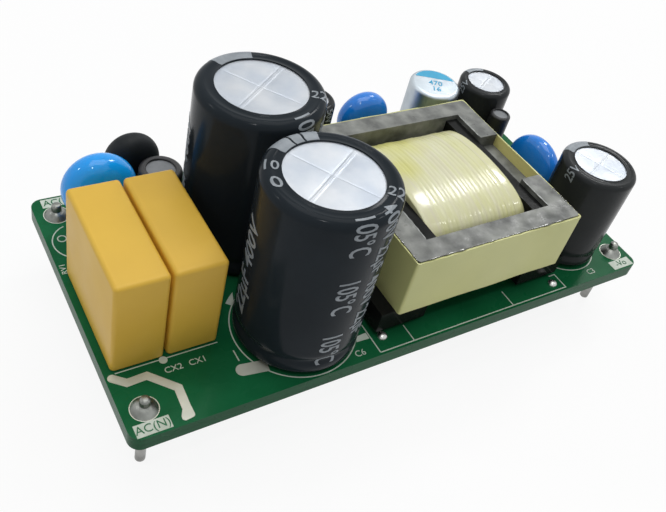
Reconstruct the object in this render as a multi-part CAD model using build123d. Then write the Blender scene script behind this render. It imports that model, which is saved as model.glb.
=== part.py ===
from build123d import *
import os
from math import atan2, cos, degrees, sin, sqrt

os.makedirs("parts", exist_ok=True)

# Open frame power supply on a circuit board that stands on four terminal pins.
# Millimetres. The layout is worked out from the board's front left corner (x right, y back)
# and heights from its upper face; place() turns them into the part's frame, which has its
# origin under the middle of the board, at the pin tips.

# Circuit board
board_thickness = 1.6
board_corner_radius = 1.2
board_right_margin = 3.79
board_back_margin = 0.45
hole_clearance = 0.1  # radial, lead to drilled hole

# Terminal pins and their solder
pin_diameter = 1.0
pin_shank_diameter = 1.4  # through the board, above the shoulder
pin_drop = 6.4  # tip below the board
pin_stand = 1.5  # head above the board
pin_chamfer = 0.2
pin_inset_x = 2.1
pin_inset_y = 2.8
pin_solder_diameter = 2.5
pin_solder_neck = 1.8
pin_solder_height = 1.0
solder_fit = 0.02  # radial, pin to solder

# Solder cones over the clipped leads
joint_diameter = 1.7
joint_tip_diameter = 0.7
joint_height = 0.9

# Box capacitors across the line
box_thickness = 5.0
box_length = 13.0
box_height = 10.8
box_edge_radius = 0.6
box_edge_gap = 0.7
box_gap = 0.3
box_behind_pin = 4.55
box_foot_height = 0.15
box_foot_width = 0.6
box_lead_pitch = 10.0
box_lead_diameter = 0.7

# Electrolytic capacitors, diameters over the sleeve
sleeve_thickness = 0.15
sleeve_fit = 0.02
bung_height = 0.4
bung_inset = 0.9
crimp_width = 1.2
crimp_depth = 0.3
vent_groove = 0.2
vent_margin = 0.4  # groove end to sleeve lip

bulk_diameter = 12.5
bulk_height = 19.6
bulk_disc_diameter = 8.9
bulk_rim_radius = 0.9
bulk_crimp_height = 2.2
bulk_edge_gap = 0.17
bulk_gap = 0.53
bulk_beside_box = 1.35
bulk_front_offset = 0.25
bulk_lead_pitch = 5.0
bulk_lead_diameter = 0.8

supply_diameter = 5.2
supply_height = 11.0
supply_disc_diameter = 3.6
supply_beside_bulk = 2.75
supply_behind_transformer = 1.4
supply_lead_pitch = 2.0

output_front_diameter = 8.4
output_front_height = 12.6
output_front_disc_diameter = 5.9
output_front_edge_gap = 2.0
output_front_beside_transformer = 0.23
output_front_lead_pitch = 3.5

output_back_diameter = 6.5
output_back_height = 10.5
output_back_disc_diameter = 4.6
output_back_beside_transformer = 0.85
output_back_behind_disc = 3.7
output_back_lead_pitch = 2.5

small_rim_radius = 0.55
small_crimp_height = 1.8
small_lead_diameter = 0.6

# Polymer capacitor in a bare can
polymer_diameter = 6.3
polymer_height = 10.0
polymer_rim_radius = 0.5
polymer_beside_output = 0.2
polymer_behind_transformer = 1.1
polymer_lead_pitch = 2.5

# Coated discs: varistor, thermistor and two disc capacitors
disc_edge_share = 0.8  # edge radius as a share of half the thickness
coat_stub_length = 1.4
coat_stub_top = 1.9
coat_stub_bottom = 1.0
disc_lead_diameter = 0.6

varistor_diameter = 7.5
varistor_thickness = 4.2
varistor_lift = 2.15
varistor_edge_gap = 1.65
varistor_behind_box = 2.5
varistor_lead_pitch = 5.0

thermistor_diameter = 5.5
thermistor_thickness = 3.4
thermistor_lift = 2.8
thermistor_behind_choke = 0.1
thermistor_left_of_choke = 1.5
thermistor_lead_pitch = 4.0

safety_diameter = 6.6
safety_thickness = 3.6
safety_lift = 3.0
safety_beside_supply = 2.4
safety_behind_transformer = 2.9
safety_lead_pitch = 4.5

output_disc_diameter = 7.9
output_disc_thickness = 3.2
output_disc_lift = 1.2
output_disc_behind_capacitor = 0.25
output_disc_beside_transformer = 3.5
output_disc_lead_pitch = 5.0

# Chokes in shrink tube
tube_thickness = 0.2
tube_fit = 0.02
tube_foot = 0.3  # lower end of the tube above the board
drum_flange = 0.8
drum_post_diameter = 2.0
input_choke_diameter = 4.5
input_choke_height = 7.0
input_choke_top_diameter = 3.0
input_choke_beside_varistor = 0.3
input_choke_beside_bulk = 0.16
input_choke_behind_box = 1.6
input_choke_lead_pitch = 2.0
output_choke_diameter = 2.5
output_choke_height = 9.0
output_choke_top_diameter = 1.9
output_choke_post_diameter = 1.2
output_choke_flange = 0.6
output_choke_beside_capacitor = 0.25
output_choke_left = 0.72  # of the capacitor behind it
output_choke_lead_pitch = 1.8
choke_lead_diameter = 0.5

# Transformer core, wound across the board's length
core_length = 21.2
core_width = 20.9
core_height = 7.05
core_lift = 3.4
core_leg = 2.3
core_yoke = 2.5
core_corner_radius = 0.4
winding_window = 3.7  # between the centre leg and an outer leg
centre_leg_height = 3.6
centre_leg_rise = 1.75
air_gap = 0.2
yoke_notch_width = 7.4
yoke_notch_depth = 1.5
transformer_edge_gap = 1.57
transformer_beside_bulk = 0.68

# Tape round the core
core_tape_thickness = 0.28
core_tape_fit = 0.02
core_tape_drop = 0.12
core_tape_height = 7.12

# Bobbin
bobbin_clearance = 0.15
bobbin_wall = 0.6
flange_thickness = 1.5
flange_below_core_top = 0.5
rail_overhang = 1.5
rail_width = 20.2
rail_below_tape = 0.05
rail_lift = 0.7
bobbin_pins_per_side = 5
bobbin_pin_pitch = 4.2
bobbin_pin_diameter = 0.7
bobbin_pin_seat = 1.5
bobbin_pin_fit = 0.02

# Coil
coil_end_gap = 0.05
winding_thickness = 0.45
winding_fit = 0.02
coil_tape_thickness = 0.3
coil_side_gap = 0.25
coil_crown = 0.5
coil_corner_radius = 3.0

# Packages under the board: body length (along x), width (along y) and height
bridge_body = (5.0, 4.4, 1.5)
controller_body = (4.9, 3.9, 1.5)
optocoupler_body = (2.6, 4.4, 2.0)
regulator_body = (2.9, 1.3, 1.0)
clamp_diode_body = (4.3, 2.6, 2.1)
power_body = (6.6, 6.1, 2.3)
package_draft = 0.15
package_standoff = 0.1
wing_thickness = 0.2
wing_reach = 1.0
wing_foot = 0.6
wing_width = 0.5
bridge_wing_pitch = 2.5
controller_wing_pitch = 1.27
optocoupler_wing_pitch = 1.27
regulator_wing_pitch = 1.9
power_wing_pitch = 4.6
power_wing_width = 0.8
power_tab_thickness = 0.5
power_tab_reach = 1.0
power_tab_width = 5.4
clamp_wing_width = 1.5

# Chip parts: length, width and height
chip_length = 2.0
chip_width = 1.25
chip_resistor_height = 0.5
chip_capacitor_height = 0.9
chip_terminal = 0.4
chip_pitch = 2.3

# Where the underside parts sit, from the transformer's middle
power_beside_pins = 0.9
power_back = 0.6
small_package_offset = 4.6
small_package_front = 7.6
optocoupler_back = 9.2
regulator_right = 6.6
chip_row_count = 5
bleeder_count = 3
filter_count = 3

# Layout from the front left corner of the board
box_front = pin_inset_y + box_behind_pin
box_back = box_front + box_length
box_y = box_front + box_length / 2
box_left_x = box_edge_gap + box_thickness / 2
box_right_x = box_left_x + box_thickness + box_gap
box_right_face = box_right_x + box_thickness / 2

bulk_back_x = box_right_face + bulk_beside_box + bulk_diameter / 2
bulk_front_x = bulk_back_x + bulk_front_offset
bulk_front_y = bulk_edge_gap + bulk_diameter / 2
bulk_back_y = bulk_front_y + bulk_diameter + bulk_gap

tape_margin = core_tape_thickness + core_tape_fit
tape_left = bulk_front_x + bulk_diameter / 2 + transformer_beside_bulk + rail_overhang
transformer_x = tape_left + tape_margin + core_length / 2
transformer_y = transformer_edge_gap + tape_margin + core_width / 2
transformer_back = transformer_y + core_width / 2 + tape_margin
rail_right = transformer_x + core_length / 2 + tape_margin + rail_overhang

output_front_x = rail_right + output_front_beside_transformer + output_front_diameter / 2
output_front_y = output_front_edge_gap + output_front_diameter / 2
output_front_back = output_front_y + output_front_diameter / 2
output_disc_x = rail_right + output_disc_beside_transformer + output_disc_thickness / 2
output_disc_y = output_front_back + output_disc_behind_capacitor + output_disc_diameter / 2
output_back_x = rail_right + output_back_beside_transformer + output_back_diameter / 2
output_disc_back = output_disc_y + output_disc_diameter / 2
output_back_y = output_disc_back + output_back_behind_disc + output_back_diameter / 2
polymer_x = output_back_x - (output_back_diameter + polymer_diameter) / 2 - polymer_beside_output
polymer_y = transformer_back + polymer_behind_transformer + polymer_diameter / 2

# The output choke stands in front of the back output capacitor
output_choke_reach = (output_back_diameter + output_choke_diameter) / 2 + output_choke_beside_capacitor
output_choke_x = output_back_x - output_choke_left
output_choke_y = output_back_y - sqrt(output_choke_reach**2 - output_choke_left**2)

supply_x = bulk_back_x + (bulk_diameter + supply_diameter) / 2 + supply_beside_bulk
supply_y = transformer_back + supply_behind_transformer + supply_diameter / 2
safety_x = supply_x + (supply_diameter + safety_diameter) / 2 + safety_beside_supply
safety_y = transformer_back + safety_behind_transformer + safety_thickness / 2

varistor_x = varistor_edge_gap + varistor_diameter / 2
varistor_y = box_back + varistor_behind_box + varistor_thickness / 2
input_choke_x = (varistor_x + (varistor_diameter + input_choke_diameter) / 2
                 + input_choke_beside_varistor)

# The input choke nestles against the back bulk capacitor, clear of the box capacitors
choke_reach = (bulk_diameter + input_choke_diameter) / 2 + input_choke_beside_bulk
choke_side = bulk_back_x - input_choke_x
input_choke_y = max(bulk_back_y + sqrt(max(0, choke_reach**2 - choke_side**2)),
                    box_back + input_choke_behind_box + input_choke_diameter / 2)
thermistor_x = input_choke_x - thermistor_left_of_choke
thermistor_y = (max(input_choke_y + input_choke_diameter / 2, varistor_y + varistor_thickness / 2)
                + thermistor_behind_choke + thermistor_thickness / 2)

board_length = board_right_margin + max(output_choke_x + output_choke_diameter / 2,
                                        output_front_x + output_front_diameter / 2,
                                        output_disc_x + output_disc_thickness / 2)
board_width = board_back_margin + max(polymer_y + polymer_diameter / 2,
                                      thermistor_y + thermistor_thickness / 2,
                                      supply_y + supply_diameter / 2,
                                      safety_y + safety_thickness / 2,
                                      output_back_y + output_back_diameter / 2,
                                      bulk_back_y + bulk_diameter / 2)
board_top = pin_drop + board_thickness

lead_spots = []  # x, y and diameter of every lead through the board


def place(x, y, z=0.0):
    """Point measured from the board's front left corner and its upper face."""
    return Location((x - board_length / 2, y - board_width / 2, board_top + z))


def write(node, *solids):
    """One file per node; alike pieces share a node as separate solids."""
    shape = solids[0] if len(solids) == 1 else Compound(list(solids))
    export_step(shape, f"parts/{node}.step")


def turned(*outline):
    """Solid of revolution about Z from the edges of a closed outline given as radius and height."""
    return revolve(Plane.XZ * make_face(outline), Axis.Z)


def upright(x, y, diameter, low, high):
    """Vertical round bar between two heights above the board's upper face."""
    bar = Cylinder(diameter / 2, high - low, align=(Align.CENTER, Align.CENTER, Align.MIN))
    return place(x, y, low) * bar


def lead(x, y, diameter, top):
    """Straight lead from a component down to the underside, with its hole noted."""
    lead_spots.append((x, y, diameter))
    return upright(x, y, diameter, -board_thickness, top)


def lead_pair(x, y, pitch, diameter, top, along_x=True):
    """Two leads of a radial component, spaced along x or along y."""
    half = pitch / 2
    if along_x:
        return [lead(x - half, y, diameter, top), lead(x + half, y, diameter, top)]
    return [lead(x, y - half, diameter, top), lead(x, y + half, diameter, top)]


def crimped_side(radius, low, crimp, high):
    """Side line of a can, from its foot up past the crimp groove to its shoulder."""
    ramp = crimp_depth
    return [(radius, low),
            (radius, crimp - crimp_width / 2),
            (radius - crimp_depth, crimp - crimp_width / 2 + ramp),
            (radius - crimp_depth, crimp + crimp_width / 2 - ramp),
            (radius, crimp + crimp_width / 2),
            (radius, high)]


def vent_cross(disc_diameter, top):
    """V grooves of the pressure vent, as a cross to cut from the can's end."""
    reach = disc_diameter - 2 * vent_margin
    bar = Rot(X=45) * Box(reach, vent_groove, vent_groove)
    return Pos(Z=top) * (bar + Rot(Z=90) * bar)


def electrolytic(node, x, y, diameter, height, disc_diameter, rim, crimp, vent_angle):
    """Aluminium can with a scored end, the sleeve shrunk over its rim, and the rubber bung."""
    outer = diameter / 2
    inner = outer - sleeve_thickness
    disc = disc_diameter / 2
    lip = height - sleeve_thickness
    shoulder = height - rim

    outside = crimped_side(outer, bung_height, crimp, shoulder)
    inside = crimped_side(inner, bung_height, crimp, shoulder)
    sleeve = turned(Polyline(*outside),
                    CenterArc((outer - rim, shoulder), rim, 0, 90),
                    Polyline((outer - rim, height), (disc, height), (disc, lip), (outer - rim, lip),
                             *reversed(inside), outside[0]))

    metal = inner - sleeve_fit
    metal_top = lip - sleeve_fit
    wall = crimped_side(metal, bung_height, crimp, shoulder)
    can = turned(Polyline((0, bung_height), *wall, (outer - rim, metal_top), (0, metal_top), close=True))
    can -= Rot(Z=vent_angle) * vent_cross(disc_diameter, metal_top)

    write(node + "_sleeve", place(x, y) * sleeve)
    write(node + "_can", place(x, y) * can)
    write(node + "_bung", upright(x, y, 2 * (metal - bung_inset), 0, bung_height))


def polymer_capacitor(x, y):
    """Bare aluminium can with a rounded rim and a crimp, on its rubber bung."""
    outer = polymer_diameter / 2
    shoulder = polymer_height - polymer_rim_radius
    wall = crimped_side(outer, bung_height, small_crimp_height, shoulder)
    can = turned(Polyline((0, bung_height), *wall),
                 CenterArc((outer - polymer_rim_radius, shoulder), polymer_rim_radius, 0, 90),
                 Polyline((outer - polymer_rim_radius, polymer_height), (0, polymer_height), (0, bung_height)))
    write("polymer_capacitor_can", place(x, y) * can)
    write("polymer_capacitor_bung", upright(x, y, 2 * (outer - bung_inset), 0, bung_height))


def coated_disc(node, x, y, diameter, thickness, lift, pitch, along_x=True):
    """Dipped disc standing on edge: a crowned lens with coating run down onto its two leads."""
    radius = diameter / 2
    half = thickness / 2
    edge = disc_edge_share * half
    ring = radius - edge
    depth = (ring**2 - (half - edge) ** 2) / (2 * (half - edge))  # crown centre below the middle
    tangent = degrees(atan2(depth, ring))
    crown = half + depth
    meet = (crown * cos(atan2(depth, ring)), crown * sin(atan2(depth, ring)) - depth)
    crown_middle = ThreePointArc((0, half), crown_point(crown, depth, meet), meet)
    edge_arc = CenterArc((ring, 0), edge, 0, tangent)
    half_lens = turned(crown_middle, edge_arc, Polyline((radius, 0), (0, 0), (0, half)))
    lens = half_lens + mirror(half_lens, Plane.XY)
    lens = Rot(X=90) * lens if along_x else Rot(Y=90) * lens

    stub_foot = lift - coat_stub_length / 2
    stub_height = coat_stub_length / 2 + radius - sqrt(radius**2 - (pitch / 2) ** 2) + edge / 2
    stub = Cone(coat_stub_bottom / 2, coat_stub_top / 2, stub_height,
                align=(Align.CENTER, Align.CENTER, Align.MIN))
    body = place(x, y, lift + radius) * lens
    leads = lead_pair(x, y, pitch, disc_lead_diameter, stub_foot, along_x)
    for end in (-pitch / 2, pitch / 2):
        foot = place(x + end, y, stub_foot) if along_x else place(x, y + end, stub_foot)
        body += foot * stub
    write(node, body)
    return leads


def crown_point(crown, depth, meet):
    """Point half way along the crown arc that starts on the axis and ends at meet."""
    half_angle = atan2(meet[0], meet[1] + depth) / 2
    return (crown * sin(half_angle), crown * cos(half_angle) - depth)


def tubed_choke(node, x, y, diameter, height, top_diameter, flange, post_diameter):
    """Drum core with its winding, in a shrink tube that curls over the core's top."""
    outer = diameter / 2
    inner = outer - tube_thickness
    core = inner - tube_fit
    core_top = height - tube_thickness - tube_fit
    post = post_diameter / 2
    lip = top_diameter / 2
    tube = turned(Polyline((inner, tube_foot), (outer, tube_foot), (outer, height - tube_thickness),
                           (outer - tube_thickness, height), (lip, height),
                           (lip, height - tube_thickness), (inner, height - tube_thickness), close=True))
    drum = turned(Polyline((0, 0), (core, 0), (core, flange), (post, flange), (post, core_top - flange),
                           (core, core_top - flange), (core, core_top), (0, core_top), close=True))
    wire = turned(Polyline((post, flange), (core, flange), (core, core_top - flange),
                           (post, core_top - flange), close=True))
    write(node + "_tube", place(x, y) * tube)
    write(node + "_core", place(x, y) * drum)
    write(node + "_winding", place(x, y) * wire)


def box_capacitor(node, x, y):
    """Potted plastic box on two long feet, with rounded upper and upright edges."""
    case = Pos(Z=box_foot_height) * Box(box_thickness, box_length, box_height - box_foot_height,
                                        align=(Align.CENTER, Align.CENTER, Align.MIN))
    case = fillet(case.edges().filter_by(Axis.Z), box_edge_radius)
    case = fillet(case.faces().sort_by(Axis.Z)[-1].edges(), box_edge_radius)
    foot = Box(box_foot_width, box_length - 2 * box_edge_radius, box_foot_height,
               align=(Align.CENTER, Align.CENTER, Align.MIN))
    reach = box_thickness / 2 - box_edge_radius - box_foot_width / 2
    case += Pos(X=-reach) * foot
    case += Pos(X=reach) * foot
    write(node, place(x, y) * case)
    return lead_pair(x, y, box_lead_pitch, box_lead_diameter, box_foot_height, along_x=False)


def core_half():
    """Right half of the ferrite core: two full-height legs, a notched yoke and a flat centre leg."""
    half = core_length / 2
    block = Box(half, core_width, core_height, align=(Align.MIN, Align.CENTER, Align.MIN))
    outer_edges = block.edges().filter_by(Axis.Z).sort_by(Axis.X)[-2:]
    block = fillet(outer_edges, core_corner_radius)
    window_depth = half - core_yoke
    block -= Box(window_depth, core_width - 2 * core_leg, core_height,
                 align=(Align.MIN, Align.CENTER, Align.MIN))
    block -= Pos(window_depth, 0, core_height - yoke_notch_depth) * Box(
        core_yoke, yoke_notch_width, yoke_notch_depth, align=(Align.MIN, Align.CENTER, Align.MIN))
    block += Pos(air_gap / 2, 0, centre_leg_rise) * Box(
        window_depth - air_gap / 2, centre_leg_width, centre_leg_height,
        align=(Align.MIN, Align.CENTER, Align.MIN))
    return block


def core_tape():
    """Closed band of tape round the outside of the core."""
    inside = RectangleRounded(core_length + 2 * core_tape_fit, core_width + 2 * core_tape_fit,
                              core_corner_radius + core_tape_fit)
    outside = RectangleRounded(core_length + 2 * tape_margin, core_width + 2 * tape_margin,
                               core_corner_radius + tape_margin)
    return Pos(Z=-core_tape_drop) * extrude(outside - inside, core_tape_height)


# Bobbin tube section and the space between its flanges
centre_leg_width = core_width - 2 * (core_leg + winding_window)
tube_bore_width = centre_leg_width + 2 * bobbin_clearance
tube_bore_height = centre_leg_height + 2 * bobbin_clearance
tube_width = tube_bore_width + 2 * bobbin_wall
tube_height = tube_bore_height + 2 * bobbin_wall
tube_middle = centre_leg_rise + centre_leg_height / 2
bobbin_half = core_length / 2 - core_yoke - bobbin_clearance
coil_half = bobbin_half - flange_thickness - coil_end_gap
window_width = core_width - 2 * core_leg
rail_top = -core_tape_drop - rail_below_tape
rail_end = core_length / 2 + tape_margin + rail_overhang
rail_start = bobbin_half - flange_thickness
bobbin_pin_x = (rail_end + core_length / 2 - core_yoke) / 2
power_offset = bobbin_pin_x - joint_diameter / 2 - power_beside_pins - power_body[0] / 2


def bobbin_pin_places():
    """Bobbin pin positions from the transformer's middle."""
    span = (bobbin_pins_per_side - 1) * bobbin_pin_pitch
    rows = [side * bobbin_pin_x for side in (-1, 1)]
    return [(row, k * bobbin_pin_pitch - span / 2) for row in rows for k in range(bobbin_pins_per_side)]


def bobbin():
    """Moulded bobbin: a flat tube on the centre leg, two end flanges and two pin rails below the yokes."""
    flange_top = core_height - flange_below_core_top
    body = Pos(Z=tube_middle) * Box(2 * bobbin_half, tube_width, tube_height)
    for side in (-1, 1):
        middle = side * (bobbin_half - flange_thickness / 2)
        body += Pos(middle, 0, rail_top) * Box(
            flange_thickness, window_width - 2 * bobbin_clearance, flange_top - rail_top,
            align=(Align.CENTER, Align.CENTER, Align.MIN))
        rail_middle = side * (rail_start + rail_end) / 2
        body += Pos(rail_middle, 0, rail_top) * Box(
            rail_end - rail_start, rail_width, core_lift - rail_lift + rail_top,
            align=(Align.CENTER, Align.CENTER, Align.MAX))
    body -= Pos(Z=tube_middle) * Box(2 * bobbin_half, tube_bore_width, tube_bore_height)
    seat = Cylinder(bobbin_pin_diameter / 2 + bobbin_pin_fit, bobbin_pin_seat,
                    align=(Align.CENTER, Align.CENTER, Align.MIN))
    for x, y in bobbin_pin_places():
        body -= Pos(x, y, rail_lift - core_lift) * seat
    return body


def coil_outline(margin):
    """Section of the coil across the winding axis: flat sides, crowned top and bottom, round corners."""
    width = window_width - 2 * coil_side_gap - 2 * margin
    height = tube_height + 2 * (winding_thickness + coil_tape_thickness) - 2 * margin
    left, right, low, high = -width / 2, width / 2, -height / 2, height / 2
    outline = make_face([ThreePointArc((left, high), (0, high + coil_crown), (right, high)),
                         Line((right, high), (right, low)),
                         ThreePointArc((right, low), (0, low - coil_crown), (left, low)),
                         Line((left, low), (left, high))])
    return fillet(outline.vertices(), coil_corner_radius - margin)


def along_winding(section):
    """Extrude a section over the coil's length, along x, about the tube's middle."""
    return Pos(-coil_half, 0, tube_middle) * extrude(Plane.YZ * section, 2 * coil_half)


def transformer():
    """Core, tape, bobbin and coil about the transformer's middle, at the height of the core's underside."""
    seat = place(transformer_x, transformer_y, core_lift)
    right_half = core_half()
    write("transformer_core_right", seat * right_half)
    write("transformer_core_left", seat * Rot(Z=180) * right_half)
    write("transformer_core_tape", seat * core_tape())
    write("transformer_bobbin", seat * bobbin())
    core_of_coil = Rectangle(tube_width + 2 * winding_fit, tube_height + 2 * winding_fit)
    copper = coil_outline(coil_tape_thickness)
    write("transformer_winding", seat * along_winding(copper - core_of_coil))
    wrap = coil_outline(0) - coil_outline(coil_tape_thickness - winding_fit)
    write("transformer_coil_tape", seat * along_winding(wrap))
    pin_top = rail_lift + bobbin_pin_seat
    write("transformer_pins", *[lead(transformer_x + x, transformer_y + y, bobbin_pin_diameter, pin_top)
                                for x, y in bobbin_pin_places()])


def below(x, y):
    """Place for a part mounted on the underside, with its own z pointing down from the board."""
    return place(x, y, -board_thickness) * Rot(X=180)


def package(size):
    """Moulded package body with drafted sides, standing on z = 0."""
    length, width, height = size
    lower = Rectangle(length, width)
    upper = Rectangle(length - 2 * package_draft, width - 2 * package_draft)
    middle = Plane.XY.offset(package_standoff + height / 2)
    halves = [loft([middle * lower, Plane.XY.offset(level) * upper])
              for level in (package_standoff, package_standoff + height)]
    return halves[0] + halves[1]


def wing(size, width, offset, side):
    """Gull wing lead from the middle of a body's side down to the board; side is 1 or -1 along y."""
    start = size[1] / 2
    middle = package_standoff + size[2] / 2
    knee = start + wing_reach - wing_foot
    outline = Polyline((start, middle), (knee + wing_thickness, middle), (knee + wing_thickness, wing_thickness),
                       (start + wing_reach, wing_thickness), (start + wing_reach, 0), (knee, 0),
                       (knee, middle - wing_thickness), (start, middle - wing_thickness), close=True)
    bent = extrude(Plane.YZ * make_face(outline), width / 2, both=True)
    return Pos(X=offset) * (bent if side > 0 else mirror(bent, Plane.XZ))


def wings(size, width, pitch, front_count, back_count):
    """Leads along both long sides of a package."""
    rows = [(-1, front_count), (1, back_count)]
    return [wing(size, width, (k - (count - 1) / 2) * pitch, side) for side, count in rows for k in range(count)]


def power_package(node, x, y):
    """Power package with a heat tab under the body and two leads at its front."""
    length, width, height = power_body
    spot = below(x, y)
    tab = Box(power_tab_width, width / 2 + power_tab_reach, power_tab_thickness,
              align=(Align.CENTER, Align.MIN, Align.MIN))
    body = Pos(Z=power_tab_thickness - package_standoff) * package((length, width, height - power_tab_thickness))
    write(node, spot * body)
    lifted = (length, width, height + power_tab_thickness - 2 * package_standoff)
    return [spot * lead_wing for lead_wing in wings(lifted, power_wing_width, power_wing_pitch, 0, 2)], spot * (
        mirror(tab, Plane.XZ))


def chip(x, y, height, turn):
    """Chip part under the board: its middle and its two end terminals."""
    spot = below(x, y) * Rot(Z=turn)
    middle = Box(chip_length - 2 * chip_terminal, chip_width, height,
                 align=(Align.CENTER, Align.CENTER, Align.MIN))
    end = Box(chip_terminal, chip_width, height, align=(Align.CENTER, Align.CENTER, Align.MIN))
    reach = (chip_length - chip_terminal) / 2
    return spot * middle, [spot * Pos(X=-reach) * end, spot * Pos(X=reach) * end]


def underside():
    """Surface mounted parts: rectifiers, control circuit, optocoupler and chip parts."""
    legs = []
    tabs = []
    small = [
        ("bridge_rectifier", bridge_body, (box_right_x + bulk_back_x) / 2, box_y,
         wing_width, bridge_wing_pitch, 2, 2),
        ("control_circuit", controller_body, transformer_x - small_package_offset,
         transformer_y - small_package_front, wing_width, controller_wing_pitch, 4, 4),
        ("clamp_diode", clamp_diode_body, transformer_x + small_package_offset,
         transformer_y - small_package_front, clamp_wing_width, 0, 1, 1),
        ("optocoupler", optocoupler_body, transformer_x - small_package_offset,
         transformer_y + optocoupler_back, wing_width, optocoupler_wing_pitch, 2, 2),
        ("voltage_reference", regulator_body, transformer_x + regulator_right,
         transformer_y + optocoupler_back, wing_width, regulator_wing_pitch, 2, 1),
    ]
    for node, size, x, y, width, pitch, front_count, back_count in small:
        spot = below(x, y)
        write(node, spot * package(size))
        legs += [spot * leg for leg in wings(size, width, pitch, front_count, back_count)]
    for node, side in (("switching_transistor", -1), ("output_rectifier", 1)):
        power_legs, tab = power_package(node, transformer_x + side * power_offset, transformer_y + power_back)
        legs += power_legs
        tabs.append(tab)
    write("package_leads", *legs)
    write("package_heat_tabs", *tabs)

    resistors = [(transformer_x, transformer_y + (k - (chip_row_count - 1) / 2) * chip_pitch, 90)
                 for k in range(chip_row_count)]
    resistors += [((box_left_x + box_right_x) / 2, box_y + (k - (bleeder_count - 1) / 2) * chip_pitch, 0)
                  for k in range(bleeder_count)]
    capacitors = [(output_choke_x + output_choke_diameter / 2 + (k + 0.5) * chip_pitch,
                   (output_disc_back + output_back_y - output_back_diameter / 2) / 2, 90)
                  for k in range(filter_count)]
    ends = []
    bodies = {"chip_resistors": [], "chip_capacitors": []}
    for node, height, spots in (("chip_resistors", chip_resistor_height, resistors),
                                ("chip_capacitors", chip_capacitor_height, capacitors)):
        for x, y, turn in spots:
            middle, terminals = chip(x, y, height, turn)
            bodies[node].append(middle)
            ends += terminals
        write(node, *bodies[node])
    write("chip_terminals", *ends)


def terminal_places():
    """The four corner pins."""
    return [(x, y) for x in (pin_inset_x, board_length - pin_inset_x)
            for y in (pin_inset_y, board_width - pin_inset_y)]


def terminals():
    """Round pins with a shoulder under the board, and their solder fillets on both of its faces."""
    tip = pin_diameter / 2
    shank = pin_shank_diameter / 2
    shoulder = pin_drop - pin_solder_height
    head = board_top + pin_stand
    pin = turned(Polyline((0, 0), (tip - pin_chamfer, 0), (tip, pin_chamfer), (tip, shoulder),
                          (shank, shoulder), (shank, head - pin_chamfer), (shank - pin_chamfer, head),
                          (0, head), close=True))
    bore = shank + solder_fit
    fillet_ring = turned(Polyline((bore, 0), (pin_solder_diameter / 2, 0),
                                  (pin_solder_neck / 2, pin_solder_height), (bore, pin_solder_height),
                                  close=True))
    pins = []
    solder = []
    for x, y in terminal_places():
        pins.append(place(x, y, -board_top) * pin)
        solder += [place(x, y) * fillet_ring, below(x, y) * fillet_ring]
    write("terminal_pins", *pins)
    write("terminal_solder", *solder)


def board():
    """Bare board with rounded corners and a drilled hole for every lead and pin."""
    outline = RectangleRounded(board_length, board_width, board_corner_radius)
    holes = [(x, y, pin_shank_diameter) for x, y in terminal_places()] + lead_spots
    for x, y, diameter in holes:
        spot = Pos(x - board_length / 2, y - board_width / 2)
        outline -= spot * Circle(diameter / 2 + hole_clearance)
    return Pos(Z=pin_drop) * extrude(outline, board_thickness)


def lead_joints():
    """Cone of solder over each clipped lead on the underside."""
    cone = Cone(joint_diameter / 2, joint_tip_diameter / 2, joint_height,
                align=(Align.CENTER, Align.CENTER, Align.MIN))
    return [below(x, y) * cone for x, y, diameter in lead_spots]


terminals()
write("box_capacitor_leads",
      *box_capacitor("box_capacitor_left", box_left_x, box_y),
      *box_capacitor("box_capacitor_right", box_right_x, box_y))

for side, x, y in (("front", bulk_front_x, bulk_front_y), ("back", bulk_back_x, bulk_back_y)):
    electrolytic("bulk_capacitor_" + side, x, y, bulk_diameter, bulk_height, bulk_disc_diameter,
                 bulk_rim_radius, bulk_crimp_height, 45)
write("bulk_capacitor_leads",
      *lead_pair(bulk_front_x, bulk_front_y, bulk_lead_pitch, bulk_lead_diameter, 0, along_x=False),
      *lead_pair(bulk_back_x, bulk_back_y, bulk_lead_pitch, bulk_lead_diameter, 0, along_x=False))

electrolytic("supply_capacitor", supply_x, supply_y, supply_diameter, supply_height,
             supply_disc_diameter, small_rim_radius, small_crimp_height, 0)
electrolytic("output_capacitor_front", output_front_x, output_front_y, output_front_diameter,
             output_front_height, output_front_disc_diameter, small_rim_radius, small_crimp_height, 0)
electrolytic("output_capacitor_back", output_back_x, output_back_y, output_back_diameter,
             output_back_height, output_back_disc_diameter, small_rim_radius, small_crimp_height, 0)
polymer_capacitor(polymer_x, polymer_y)
write("small_capacitor_leads",
      *lead_pair(supply_x, supply_y, supply_lead_pitch, small_lead_diameter, 0),
      *lead_pair(output_front_x, output_front_y, output_front_lead_pitch, small_lead_diameter, 0, along_x=False),
      *lead_pair(output_back_x, output_back_y, output_back_lead_pitch, small_lead_diameter, 0),
      *lead_pair(polymer_x, polymer_y, polymer_lead_pitch, small_lead_diameter, 0))

write("varistor_leads", *coated_disc("varistor", varistor_x, varistor_y, varistor_diameter,
                                     varistor_thickness, varistor_lift, varistor_lead_pitch))
write("thermistor_leads", *coated_disc("thermistor", thermistor_x, thermistor_y, thermistor_diameter,
                                       thermistor_thickness, thermistor_lift, thermistor_lead_pitch))
write("disc_capacitor_leads",
      *coated_disc("safety_capacitor", safety_x, safety_y, safety_diameter, safety_thickness,
                   safety_lift, safety_lead_pitch),
      *coated_disc("output_disc_capacitor", output_disc_x, output_disc_y, output_disc_diameter,
                   output_disc_thickness, output_disc_lift, output_disc_lead_pitch, along_x=False))

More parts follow.
